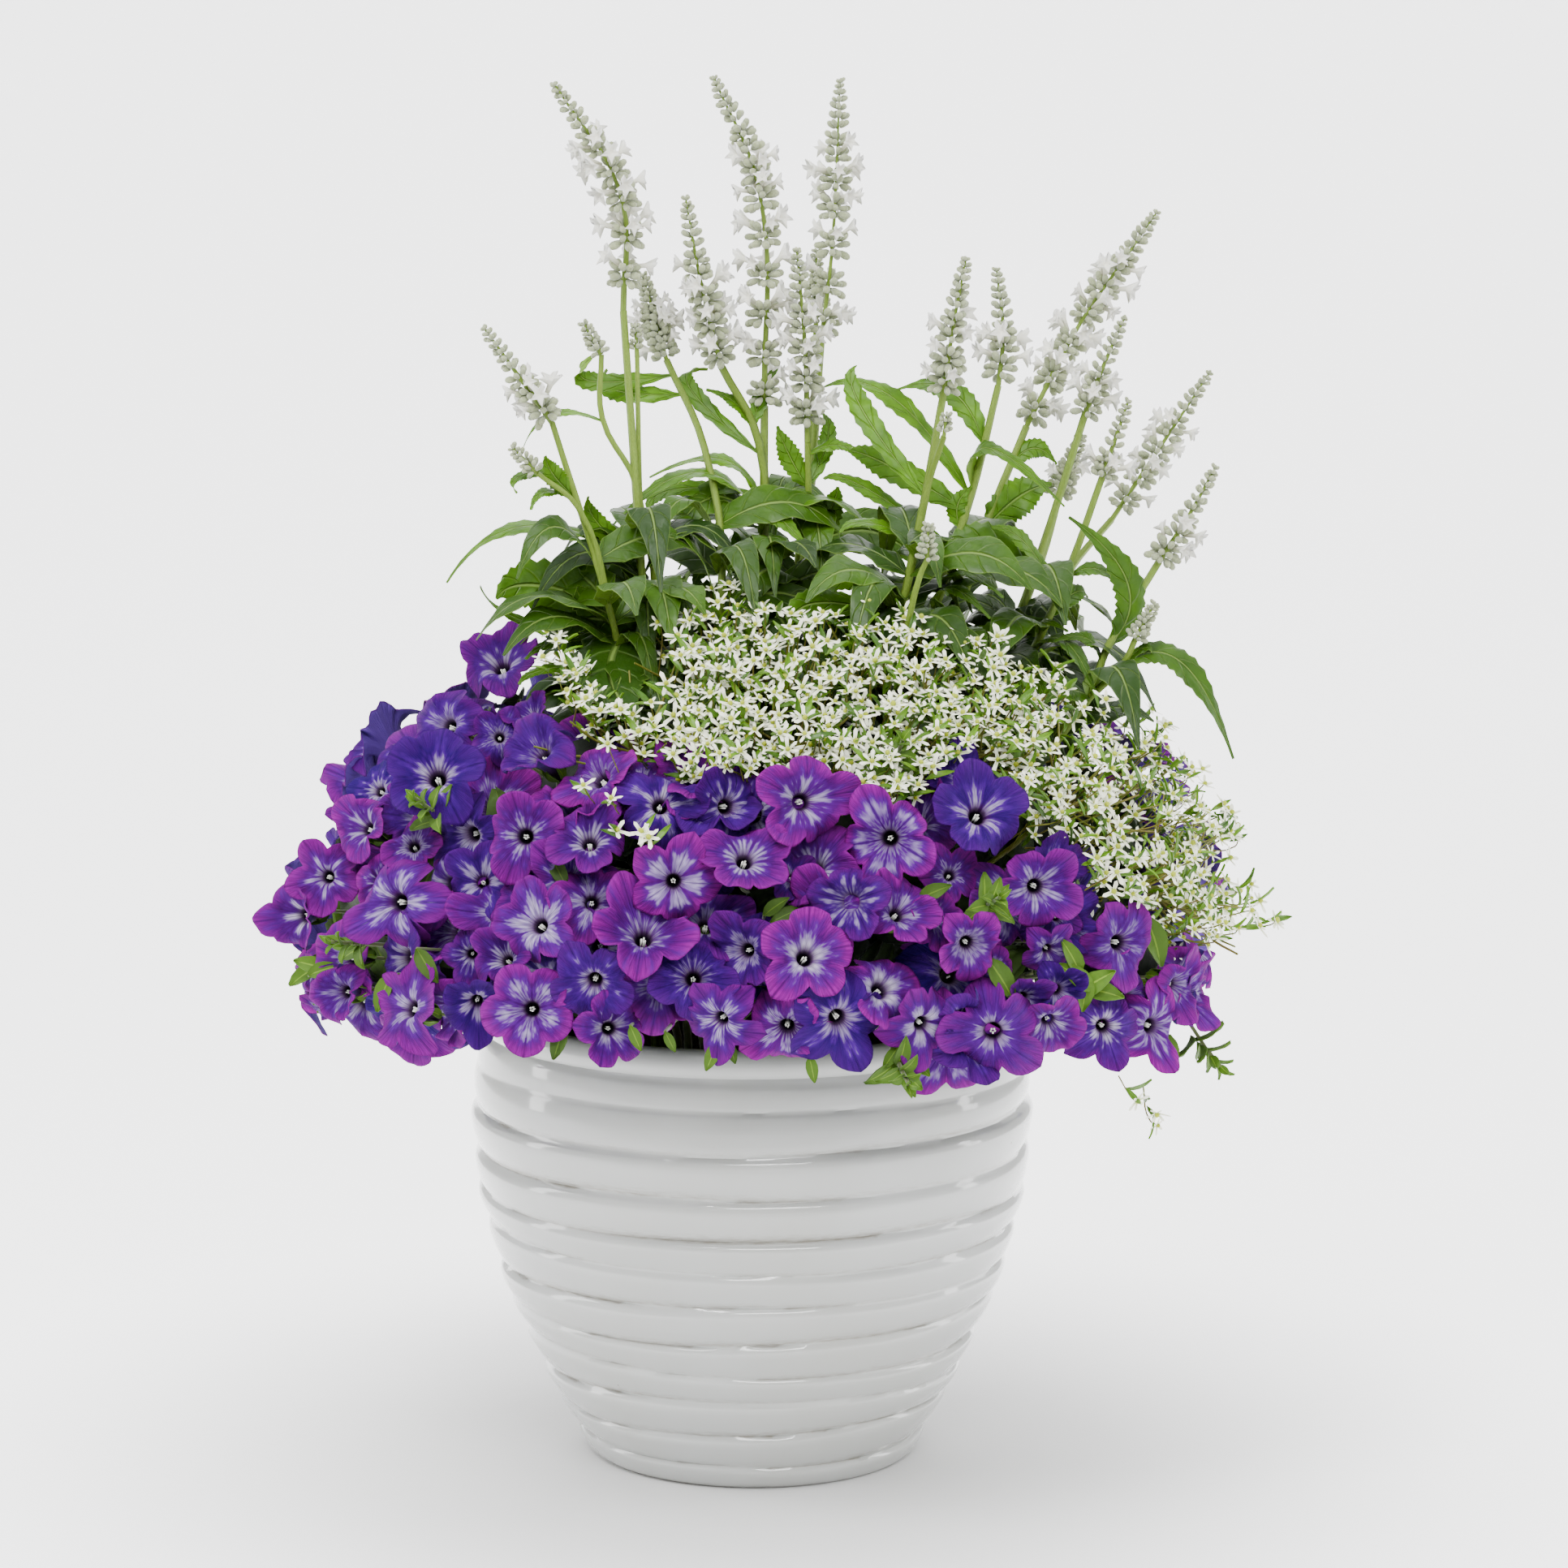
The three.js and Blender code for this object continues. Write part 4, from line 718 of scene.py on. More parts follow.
# Square herb stem: pale green, with paler ridges along it and a faint bloom of hairs.
salvia_stem, salvia_stem_shader = new_surface(
    "salvia_stem", Roughness=0.5, Specular_IOR_Level=0.35
)
place = add_node(salvia_stem, "ShaderNodeTexCoord", {})
drawn_out = add_node(salvia_stem, "ShaderNodeMapping", {
    "Vector": place.outputs["Object"], "Scale": (700, 700, 9),
})
ridge = add_node(salvia_stem, "ShaderNodeTexNoise", {"Vector": drawn_out.outputs[0]})
ridged = add_node(salvia_stem, "ShaderNodeMix", {
    0: ridge.outputs["Fac"], 6: linear("#466912"), 7: linear("#90a840"),
}, data_type="RGBA")
ridge_relief = add_node(salvia_stem, "ShaderNodeBump", {
    "Distance": 0.0004, "Height": ridge.outputs["Fac"],
})
dress(salvia_stem_shader, ridged.outputs[2], ridge_relief.outputs[0])

grown = random.Random(5)
for plant, salvia in SALVIAS.items():
    foot = Vector((*salvia["foot"], 0)) * MM
    foot.z = ROOT_BOTTOM
    crown = salvia["crown"]
    forks = [Vector((foot.x, foot.y, (crown - FORK_SPACING * k) * MM)) for k in range(8)]
    lines = [[foot, forks[0]]]
    stems = [([foot, forks[0].lerp(foot, 0.5), forks[0]], *CROWN_THICK)]
    for k, (broad, tip_down, down) in enumerate((*salvia["stems"], *salvia["buds"])):
        spike_up = [seen_at(*point) for point in reversed(tip_down)]
        climb = [forks[k], *(seen_at(*point) for point in reversed(down))]
        lines.append([*climb, spike_up[0]])
        thick = STEM_THICK + STEM_TO_SPIKE * broad
        stems.append(([*climb, spike_up[0]], thick, thick * 0.75))
        stems.append((spike_up, thick * 0.62, TIP_THICK))
    parts = []
    for base_column, base_row, column, row, tip_column, tip_row, wide, forward, facing in (
        SALVIA_LEAVES[plant]
    ):
        depth = nearest_on_stems(lines, seen_at(base_column, base_row)).y / MM
        base = nearest_on_stems(lines, seen_at(base_column, base_row, depth))
        behind = base.y / MM
        middle = seen_at(column, row, behind - forward / 2)
        tip = seen_at(tip_column, tip_row, behind - forward)
        width = BLADE_FULL * wide * (middle - EYE).length / FOCAL_PIXELS
        # Painted light and shade: a leaf's green is lighter the higher it grows.
        lit = min(max((base.z - SHADE_HEIGHT) / SHADE_FADE, 0), 1)
        bright = 0.75 * lit + 0.25 * grown.random()
        if forward > HANGING_LEAF_FORWARD:
            bright = HANGING_LEAF_TONE
        parts.append(bent_leaf(leaf_blank, (base, middle, tip), width, facing, bright))
    for k, (turn, height, reach) in enumerate(BACK_LEAVES):
        base = nearest_on_stems([lines[1 + k % 3]], Vector((0, 0, height * MM)))
        out = Vector((math.cos(math.radians(turn)), math.sin(math.radians(turn)), 0)) * reach * MM
        middle = base + out / 2 + UP * 0.022
        tip = base + out - UP * 0.008
        parts.append(bent_leaf(leaf_blank, (base, middle, tip), BACK_LEAF_WIDTH * MM, 0, 0.4))
    for number, line in enumerate(lines[1:]):
        height = LOWEST_PAIR + 0.012 * (number % 2)
        turn = grown.uniform(0, math.pi)
        while height < min(PAIR_HEIGHTS[plant], line[-1].z - BARE_UNDER_SPIKE):
            base = at_height(line, height)
            for way in (0, math.pi):
                angle = turn + way + grown.uniform(-0.3, 0.3)
                reach = grown.uniform(0.044, 0.080) * (1.25 - 1.6 * (height - 0.45))
                out = Vector((math.cos(angle), math.sin(angle), 0)) * reach
                middle = base + out * 0.55 + UP * grown.uniform(0.012, 0.026)
                tip = base + out + UP * grown.uniform(-0.030, 0.010)
                width = reach * grown.uniform(0.36, 0.50)
                # Painted light and shade: these leaves too are painted lighter the higher they
                # grow.
                lit = 3 * (height - SHADE_HEIGHT)
                bright = lit * grown.random() + 0.2 * grown.random() ** 2
                places = (base, middle, tip)
                parts.append(bent_leaf(small_blank, places, width, grown.random() * 0.7, bright))
            height += PAIR_SPACING
            turn += math.pi / 2
    stem_piece = stalks(f"salvia_{plant}_stems", stems)
    stem_piece.data.materials.append(salvia_stem)
    greens = joined(f"salvia_{plant}_greens", [*parts, stem_piece])
    hand_over(greens, "salvia_leaves", f"salvia_{plant}")
for blank in (leaf_blank, small_blank):
    bpy.data.objects.remove(blank)

# ---- The salvias' flower spikes -----------------------------------------------------
# Each stem ends in whorls of woolly grey buds, crowded at the tip and apart further down,
# where white flowers with a broad lower lip stand out from them.
BUD_LONG = 0.0088
BUD_WIDE = 0.0047
FLOWER_LONG = 0.0180
# A spike broader than this is full grown, and one broader than the next is in flower.
FULL_SPIKE = 10
OPEN_SPIKE = 8
FULL_BELOW = 0.060
# A bud sits this far out from the stem, and each further ring of a whorl this far below.
BUD_OUT = 0.0028
FLOWER_OUT = 0.0045
# How far each point of a flower's mouth reaches, round from its lip's middle.
FLOWER_MOUTH = (1.5, 0.7, 1.3, 0.45, 0.8, 0.95, 0.4, 0.95, 0.8, 0.45, 1.3, 0.7)


def square_to(axis):
    """Two directions square to an axis and to each other."""
    helper = UP if abs(axis.z) < 0.9 else Vector((1, 0, 0))
    across = helper.cross(axis).normalized()
    return across, axis.cross(across)


def spoke(across, upward, turn):
    """The direction at a turn between two directions that are square to each other."""
    return across * math.cos(turn) + upward * math.sin(turn)


def standing(at, axis, size, turn=0.0):
    """The place of a part that is modelled on +Z: its foot, direction, size and turn."""
    across, upward = square_to(axis)
    axes = Matrix((across, upward, axis)).transposed().to_4x4()
    turned_by = Matrix.Rotation(turn, 4, "Z")
    return Matrix.Translation(at) @ axes @ turned_by @ Matrix.Diagonal((*size, 1))


def line_through(places, steps=24):
    """A smooth line through a few places, as a row of places close together."""
    ends = [2 * places[0] - places[1], *places, 2 * places[-1] - places[-2]]
    line = []
    for before, start, end, after in zip(ends, ends[1:], ends[2:], ends[3:]):
        leave, arrive = (end - before) / 6, (after - start) / 6
        line += interpolate_bezier(start, start + leave, end - arrive, end, steps)[:-1]
    return [*line, places[-1]]


def point_along(line, distance):
    """The place at a distance along a line, and the line's direction there."""
    for start, end in zip(line, line[1:]):
        part = (end - start).length
        if distance <= part:
            return start.lerp(end, distance / part), (end - start).normalized()
        distance -= part
    return line[-1], (line[-1] - line[-2]).normalized()


# A bud is a small egg, its broad end outwards.
bud_blank = added(
    "salvia_bud_blank", bpy.ops.mesh.primitive_uv_sphere_add,
    segments=7, ring_count=5, radius=0.5, location=(0, 0, 0.5),
)
bpy.ops.object.transform_apply(location=True)
for vertex in bud_blank.data.vertices:
    vertex.co.x *= 0.66 + 0.55 * vertex.co.z
    vertex.co.y *= 0.66 + 0.55 * vertex.co.z
bpy.ops.object.shade_smooth()
mark_points(bud_blank, "reach", [vertex.co.z for vertex in bud_blank.data.vertices])

# A flower is a short tube that opens into a hood above and a broad notched lip below.
flower_blank = added(
    "salvia_flower_blank", bpy.ops.mesh.primitive_cone_add,
    vertices=12, radius1=0.06, radius2=0.09, depth=0.46, location=(0, 0, 0.23),
)
bpy.ops.object.transform_apply(location=True)
bpy.ops.object.mode_set(mode="EDIT")
bpy.ops.mesh.select_all(action="DESELECT")
bpy.ops.object.mode_set(mode="OBJECT")
for face in flower_blank.data.polygons:
    face.select = face.normal.z > 0.9
bpy.ops.object.mode_set(mode="EDIT")
bpy.ops.mesh.extrude_region_move(TRANSFORM_OT_translate={"value": (0, 0, 0.28)})
bpy.ops.transform.resize(value=(3.4, 3.4, 1), center_override=(0, 0, 0.74))
bpy.ops.mesh.extrude_region_move(TRANSFORM_OT_translate={"value": (0, 0, 0.04)})
bpy.ops.transform.resize(value=(0.88, 0.88, 1), center_override=(0, 0, 0.78))
bpy.ops.mesh.extrude_region_move(TRANSFORM_OT_translate={"value": (0, 0, -0.24)})
bpy.ops.transform.resize(value=(0.25, 0.25, 1), center_override=(0, 0, 0.54))
bpy.ops.object.mode_set(mode="OBJECT")
for vertex in flower_blank.data.vertices:
    x, y, z = vertex.co
    if z > 0.6:
        turn = math.atan2(y, x) + math.pi / 2
        mouth = FLOWER_MOUTH[round(turn / (math.pi / 6)) % 12]
        lip = -math.cos(turn) * mouth
        vertex.co = (x * mouth, y * mouth - 0.05, z + 0.10 * mouth + 0.16 * lip - 0.08)
bpy.ops.object.shade_smooth()
mark_points(flower_blank, "reach", [vertex.co.z for vertex in flower_blank.data.vertices])

# Woolly bud: grey-green felt, darker where it is held and nearly white at its tip.
bud_wool, bud_shader = new_surface(
    "bud_wool", Roughness=0.9, Sheen_Weight=0.6, Sheen_Roughness=0.5
)
place = add_node(bud_wool, "ShaderNodeTexCoord", {})
wool = add_node(bud_wool, "ShaderNodeTexNoise", {
    "Vector": place.outputs["Object"], "Scale": 900.0, "Detail": 3.0,
})
reach = add_node(bud_wool, "ShaderNodeAttribute", {}, attribute_name="reach")
tone = add_node(bud_wool, "ShaderNodeAttribute", {}, attribute_name="tone")
held = add_node(bud_wool, "ShaderNodeMix", {
    0: reach.outputs["Fac"], 6: linear("#53661e"), 7: linear("#98a274"),
}, data_type="RGBA")
shaded = add_node(bud_wool, "ShaderNodeMix", {
    0: tone.outputs["Fac"], 6: linear("#6a7850"), 7: held.outputs[2],
}, data_type="RGBA")
felted = add_node(bud_wool, "ShaderNodeMix", {
    0: wool.outputs["Fac"], 6: shaded.outputs[2], 7: linear("#b6bc9c"),
}, data_type="RGBA")
wool_relief = add_node(bud_wool, "ShaderNodeBump", {
    "Distance": 0.0006, "Height": wool.outputs["Fac"],
})
dress(bud_shader, felted.outputs[2], wool_relief.outputs[0])
bud_blank.data.materials.append(bud_wool)

# White petal: thin, faintly grey where it folds, cream in the throat.
white_petal, white_petal_shader = new_surface("white_petal", Roughness=0.6, Sheen_Weight=0.2)
place = add_node(white_petal, "ShaderNodeTexCoord", {})
crumple = add_node(white_petal, "ShaderNodeTexNoise", {
    "Vector": place.outputs["Object"], "Scale": 260.0, "Detail": 2.0,
})
reach = add_node(white_petal, "ShaderNodeAttribute", {}, attribute_name="reach")
petal_white = add_node(white_petal, "ShaderNodeMix", {
    0: reach.outputs["Fac"], 6: linear("#d8d5b8"), 7: linear("#fbfbf8"),
}, data_type="RGBA")
petal_relief = add_node(white_petal, "ShaderNodeBump", {
    "Distance": 0.0008, "Height": crumple.outputs["Fac"],
})
dress(white_petal_shader, petal_white.outputs[2], petal_relief.outputs[0])
flower_blank.data.materials.append(white_petal)


def spike_parts(places, broad, in_flower):
    """The buds and flowers of one spike, from its tip down to its foot."""
    line = line_through(places)
    long = sum((end - start).length for start, end in zip(line, line[1:]))
    scale = 0.55 + 0.03 * broad
    parts = []
    down = 0.0006
    whorl = 0
    while down < long - 0.002:
        at, axis = point_along(line, long - down)
        across, upward = square_to(axis)
        full = min(0.25 + down / 0.040, 1)
        if broad > FULL_SPIKE:
            full = min(down / FULL_BELOW, 1) ** 0.7
        rings = 1 if full < 0.6 else 2 if full < 0.9 or broad < FULL_SPIKE else 3
        count = 5 + round(3 * full)
        for k in range(count * rings):
            ring = k // count
            turn = whorl * 0.7 + ring * 0.4 + k * 2 * math.pi / count + grown.uniform(-0.3, 0.3)
            out = spoke(across, upward, turn)
            rise = 0.85 - 0.10 * full - 0.60 * ring + grown.uniform(-0.15, 0.15)
            pointing = (out + axis * rise).normalized()
            root = at + out * BUD_OUT * full - axis * BUD_OUT * ring
            root += axis * grown.uniform(-0.0007, 0.0007)
            bulk = (0.38 + 0.62 * full) * grown.uniform(0.82, 1.12) * scale
            wide = BUD_WIDE * bulk * (1.3 - 0.3 * full)
            bud = own_copy(bud_blank, grown.random())
            bud.data.transform(standing(root, pointing, (wide, wide, BUD_LONG * bulk)))
            parts.append(bud)
        flowers = 0
        if in_flower and full > 0.8 and down > long * 0.25:
            flowers = round(grown.uniform(0.2, 1.0) * (3 + 5 * min(down / 0.09, 1)))
        for k in range(flowers):
            turn = whorl * 1.3 + k * 2.4 + grown.uniform(-0.4, 0.4)
            out = spoke(across, upward, turn)
            pointing = (out + axis * grown.uniform(0.15, 0.95)).normalized()
            root = at + out * FLOWER_OUT + axis * grown.uniform(0.001, 0.004)
            big = FLOWER_LONG * grown.uniform(0.75, 1.15) * scale
            flower = own_copy(flower_blank, grown.random())
            shape = (big, big, big)
            flower.data.transform(standing(root, pointing, shape, grown.uniform(-0.8, 0.8)))
            parts.append(flower)
        if broad > FULL_SPIKE:
            gap = 0.0036 + 0.10 * down + 0.24 * max(down - 0.026, 0)
            down += min(gap, 0.024, max(long * 0.17, 0.009))
        else:
            down += 0.0030 + 0.03 * down
        whorl += 1
    return parts


spike_count = 0
for plant, salvia in SALVIAS.items():
    parts = []
    names = []
    for broad, tip_down, _ in salvia["stems"]:
        spike_count += 1
        names.append(f"salvia_spike_{spike_count:02d}")
        places = [seen_at(*point) for point in reversed(tip_down)]
        parts += spike_parts(places, broad, broad > OPEN_SPIKE)
    for broad, tip_down, _ in salvia["buds"]:
        places = [seen_at(*point) for point in reversed(tip_down)]
        parts += spike_parts(places, broad, False)
    spikes = joined(f"salvia_{plant}_spikes", parts)
    hand_over(spikes, "salvia_spikes", *names)
for blank in (bud_blank, flower_blank):
    bpy.data.objects.remove(blank)

# ---- The petunias' leaves and stems -------------------------------------------------
# The petunias root round the soil's edge. Their hairy stems branch inside the mound and
# hold soft oval leaves, dark inside it and lime green at the tips that come through.
MOUND_MIDDLE = 0.310
MOUND_WIDE = 0.297
MOUND_DEEP = 0.265
MOUND_UP = 0.230
MOUND_DOWN = 0.110
# A line of sight is followed through the mound in these steps, in millimetres behind the
# pot's axis.
SIGHT_STEPS = range(-290, 62, 2)
SOIL_CLEAR = 0.284
SHOOT_ROOTS = 0.124
SHOOT_CLEAR = 0.022
LEAVES_TO_A_SHOOT = 11
# Each shoot takes so many numbers from the row before the blooms get theirs.
NUMBERS_TO_A_SHOOT = 5
# Half widths of a leaf's blade and stalk, as shares of its length.
OVAL_HALF = 0.20
OVAL_STALK = 0.03
# Broad leaves that fill the mound, painted near black green as the shade inside it. They stay this
# far above the rim.
FILLERS = 1200
FILLER_CLEAR_FRONT = 0.030
FILLER_CLEAR_BACK = 0.016
# Green tips between and under the blooms: column, row, lean to the right and upwards.
SHOOTS = (
    (545, 1008, -0.4, 0.3), (455, 1165, -0.8, 0.1), (1212, 1125, 0.1, 0.4),
    (1470, 1288, 0.8, -0.3), (1106, 1300, 0.1, -0.7), (1105, 950, 0, 0.8),
)
# Leaves that show singly: column, row, lean right, lean up, size and brightness.
SINGLE_LEAVES = (
    (690, 1283, -0.3, -1.0, 0.8, 0.25), (783, 1278, 0.4, -0.8, 0.6, 0.5),
    (826, 1282, 0.5, -0.9, 0.5, 0.35), (878, 1300, -0.4, -0.9, 0.7, 0.5),
    (902, 1296, 0.3, -1.0, 0.5, 0.3), (1000, 1316, 0.2, -1.0, 0.6, 0.55),
    (1098, 1302, -0.6, -0.7, 0.6, 0.5), (1106, 1318, 0.1, -1.0, 0.6, 0.4),
    (1128, 1308, 0.7, -0.7, 0.8, 0.6), (1440, 1296, -0.1, -1.0, 0.9, 0.7),
    (388, 1190, -0.8, 0.3, 0.9, 0.8), (378, 1200, -0.6, -0.5, 0.9, 0.7),
    (398, 1196, 0.8, 0.2, 0.8, 0.6), (475, 1222, -0.2, -0.9, 0.9, 0.5),
    (1232, 1205, 0.4, -0.8, 1.1, 0.4), (1420, 1158, 0.1, -0.9, 1.2, 0.4),
    (1325, 1205, -0.6, 0.4, 1.0, 0.8), (1345, 1212, 0.7, 0.5, 1.1, 0.9),
    (1355, 1222, 0.8, -0.2, 1.0, 0.7), (1335, 1220, -0.2, -0.8, 0.9, 0.7),
    (1320, 1180, -0.5, 0.7, 0.9, 0.6), (955, 1118, 0.6, 0.4, 0.7, 0.3),
    (968, 1128, -0.6, -0.3, 0.7, 0.25), (1150, 1100, 0.7, 0.3, 0.8, 0.4),
    (690, 1075, 0.3, -0.5, 0.8, 0.2), (527, 1188, 0.5, -0.6, 0.9, 0.3),
)


def drawn(state):
    """A repeatable row of numbers from 0 to 1."""
    while True:
        state = (state * 1664525 + 1013904223) % 2**32
        yield state / 2**32


def mound_half(height):
    """How far the mound reaches up or down from its middle, on the side of a height."""
    return MOUND_UP if height > MOUND_MIDDLE else MOUND_DOWN


def mound_place(turn, height):
    """The place on the mound's skin at a turn round it and a height."""
    spread = math.sqrt(1 - ((height - MOUND_MIDDLE) / mound_half(height)) ** 2)
    return Vector((
        math.cos(turn) * spread * MOUND_WIDE, math.sin(turn) * spread * MOUND_DEEP, height,
    ))


def mound_outward(place):
    """The direction straight out of the mound's skin."""
    rise = (place.z - MOUND_MIDDLE) / mound_half(place.z) ** 2
    return Vector((place.x / MOUND_WIDE**2, place.y / MOUND_DEEP**2, rise)).normalized()


def on_mound(column, row):
    """Where a line of sight first meets the mound's skin, or comes nearest to it."""
    best_level, best = None, None
    for behind in SIGHT_STEPS:
        place = seen_at(column, row, behind)
        high = (place.z - MOUND_MIDDLE) / mound_half(place.z)
        level = Vector((place.x / MOUND_WIDE, place.y / MOUND_DEEP, high)).length
        if best is None or level < best_level:
            best_level, best = level, place
        if level <= 1:
            break
    middle = Vector((0, 0, MOUND_MIDDLE))
    return (best - middle) / best_level + middle


def roots_of(place, distance):
    """The two ends of a stem's length in the soil, on the side of a place."""
    flat = Vector((place.x, place.y, 0)).normalized() * distance
    return [Vector((flat.x, flat.y, ROOT_BOTTOM)), Vector((flat.x, flat.y, SOIL_CLEAR))]


def leaf_place(base, along, face, size):
    """The place of a small leaf: its base, the way it grows, and the way it looks."""
    across = along.cross(face).normalized()
    axes = Matrix((across, along, across.cross(along))).transposed().to_4x4()
    return Matrix.Translation(base) @ axes @ Matrix.Scale(size, 4)


oval_blank = flat_blade("petunia_leaf_blank", 2, 5, BLADE_THICKNESS)
for vertex in oval_blank.data.vertices:
    side, share, deep = vertex.co.x, (vertex.co.y + 1) / 2, vertex.co.z
    half = OVAL_HALF * math.sin(math.pi * share**0.85) ** 0.8 + OVAL_STALK
    bow = 0.10 * abs(side) + 0.30 * share - 0.42 * share**2
    vertex.co = (side * half, share, bow + 0.5 * deep + 0.02 * math.sin(9 * share) * side)
bpy.ops.object.shade_smooth_by_angle(angle=math.radians(60))

# Soft downy leaf: painted dark green as the shade inside the mound, lime green at the growing tips,
# with a pale midrib and a fur of fine hairs that catches the light at the edges.
downy_leaf, downy_leaf_shader = new_surface(
    "downy_leaf", Roughness=0.6, Specular_IOR_Level=0.25, Sheen_Weight=0.06
)
place = add_node(downy_leaf, "ShaderNodeTexCoord", {})
tone = add_node(downy_leaf, "ShaderNodeAttribute", {}, attribute_name="tone")
lime = add_node(downy_leaf, "ShaderNodeMix", {
    0: tone.outputs["Fac"], 6: linear("#0a1406"), 7: linear("#5f8a14"),
}, data_type="RGBA")
blotch = add_node(downy_leaf, "ShaderNodeTexNoise", {
    "Vector": place.outputs["Object"], "Scale": 240.0, "Detail": 4.0,
})
blotch_share = add_node(downy_leaf, "ShaderNodeMath", {
    0: blotch.outputs["Fac"], 1: tone.outputs["Fac"],
}, operation="MULTIPLY")
blotched = add_node(downy_leaf, "ShaderNodeMix", {
    0: blotch_share.outputs[0], 6: lime.outputs[2], 7: linear("#3c5c16"),
}, data_type="RGBA")
across_leaf = add_node(downy_leaf, "ShaderNodeSeparateXYZ", {0: place.outputs["UV"]})
side = add_node(downy_leaf, "ShaderNodeMath", {
    0: across_leaf.outputs[0], 1: 0.5,
}, operation="COMPARE")
side.inputs[2].default_value = 0.04
rib_share = add_node(downy_leaf, "ShaderNodeMath", {
    0: side.outputs[0], 1: tone.outputs["Fac"],
}, operation="MULTIPLY")
ribbed = add_node(downy_leaf, "ShaderNodeMix", {
    0: rib_share.outputs[0], 6: blotched.outputs[2], 7: linear("#84a832"),
}, data_type="RGBA")
down = add_node(downy_leaf, "ShaderNodeBump", {
    "Distance": 0.0006, "Height": blotch.outputs["Fac"],
})
dress(downy_leaf_shader, ribbed.outputs[2], down.outputs[0])
oval_blank.data.materials.append(downy_leaf)


def oval_leaf(base, along, face, long, tone):
    """One small leaf in its place."""
    leaf = own_copy(oval_blank, tone)
    leaf.data.transform(leaf_place(base, along.normalized(), face, long))
    return leaf


turns = drawn(20241)
petunia_leaves = []
petunia_stems = []
for column, row, lean_right, lean_up in SHOOTS:
    place = on_mound(column, row)
    outward = mound_outward(place)
    axis = (outward + TOWARDS_EYE * 0.5 + Vector((lean_right, 0, lean_up))).normalized()
    tip = place + axis * 0.026
    inner = place - outward * 0.045
    inner.z = max(inner.z, RIM_TOP + SHOOT_CLEAR)
    petunia_stems.append(([*roots_of(place, SHOOT_ROOTS), inner, tip], 1.9, 1.2))
    climb = (tip - inner).normalized()
    across, upward = square_to(climb)
    for _ in range(NUMBERS_TO_A_SHOOT):
        next(turns)
    for k in range(LEAVES_TO_A_SHOOT):
        out = spoke(across, upward, k * 2.2 + 0.5)
        base = tip - climb * (0.0015 + 0.0026 * k)
        along = out * (0.35 + 0.07 * k) + climb * (0.95 - 0.07 * k)
        long = 0.010 + 0.0012 * k
        petunia_leaves.append(oval_leaf(base, along, climb, long, 1.0 - 0.05 * k))
for column, row, lean_right, lean_up, size, bright in SINGLE_LEAVES:
    place = on_mound(column, row)
    outward = mound_outward(place)
    along = Vector((lean_right, 0, lean_up)) + outward * 0.25
    base = place - along.normalized() * 0.012 * size
    face = (TOWARDS_EYE + outward * 0.6 + UP * 0.4).normalized()
    petunia_leaves.append(oval_leaf(base, along, face, 0.026 * size, bright))
    petunia_stems.append(([base - outward * 0.05, base], 1.3, 1.0))
shade = random.Random(11)
for _ in range(FILLERS):
    turn = shade.uniform(0, 2 * math.pi)
    high = shade.uniform(-0.45, 0.93)
    spread = math.sqrt(1 - high**2)
    size = MOUND_UP if high > 0 else MOUND_DOWN
    skin = Vector((
        math.cos(turn) * spread * MOUND_WIDE, math.sin(turn) * spread * MOUND_DEEP, high * size,
    ))
    place = skin * shade.uniform(0.42, 0.86) + Vector((0, 0, MOUND_MIDDLE))
    clear = FILLER_CLEAR_FRONT if place.y < 0 else FILLER_CLEAR_BACK
    place.z = max(place.z, RIM_TOP + clear)
    outward = mound_outward(place)
    across, upward = square_to(outward)
    roll = shade.uniform(0, 2 * math.pi)
    along = across * math.cos(roll) + upward * abs(math.sin(roll))
    along += outward * shade.uniform(0, 0.6)
    long = shade.uniform(0.034, 0.056)
    # Painted shade: the fillers are given a dark tone.
    tone = 0.30 * shade.random() ** 2
    petunia_leaves.append(oval_leaf(place, along, outward, long, tone))

# Petunia stem: downy pale green, browner where it is old.
downy_stem, downy_stem_shader = new_surface("downy_stem", Roughness=0.7, Sheen_Weight=0.5)
place = add_node(downy_stem, "ShaderNodeTexCoord", {})
age = add_node(downy_stem, "ShaderNodeTexNoise", {
    "Vector": place.outputs["Object"], "Scale": 45.0, "Detail": 4.0,
})
aged = add_node(downy_stem, "ShaderNodeMix", {
    0: age.outputs["Fac"], 6: linear("#5f7a2e"), 7: linear("#4b3a26"),
}, data_type="RGBA")
hairs = add_node(downy_stem, "ShaderNodeBump", {
    "Distance": 0.0005, "Height": age.outputs["Fac"],
})
dress(downy_stem_shader, aged.outputs[2], hairs.outputs[0])

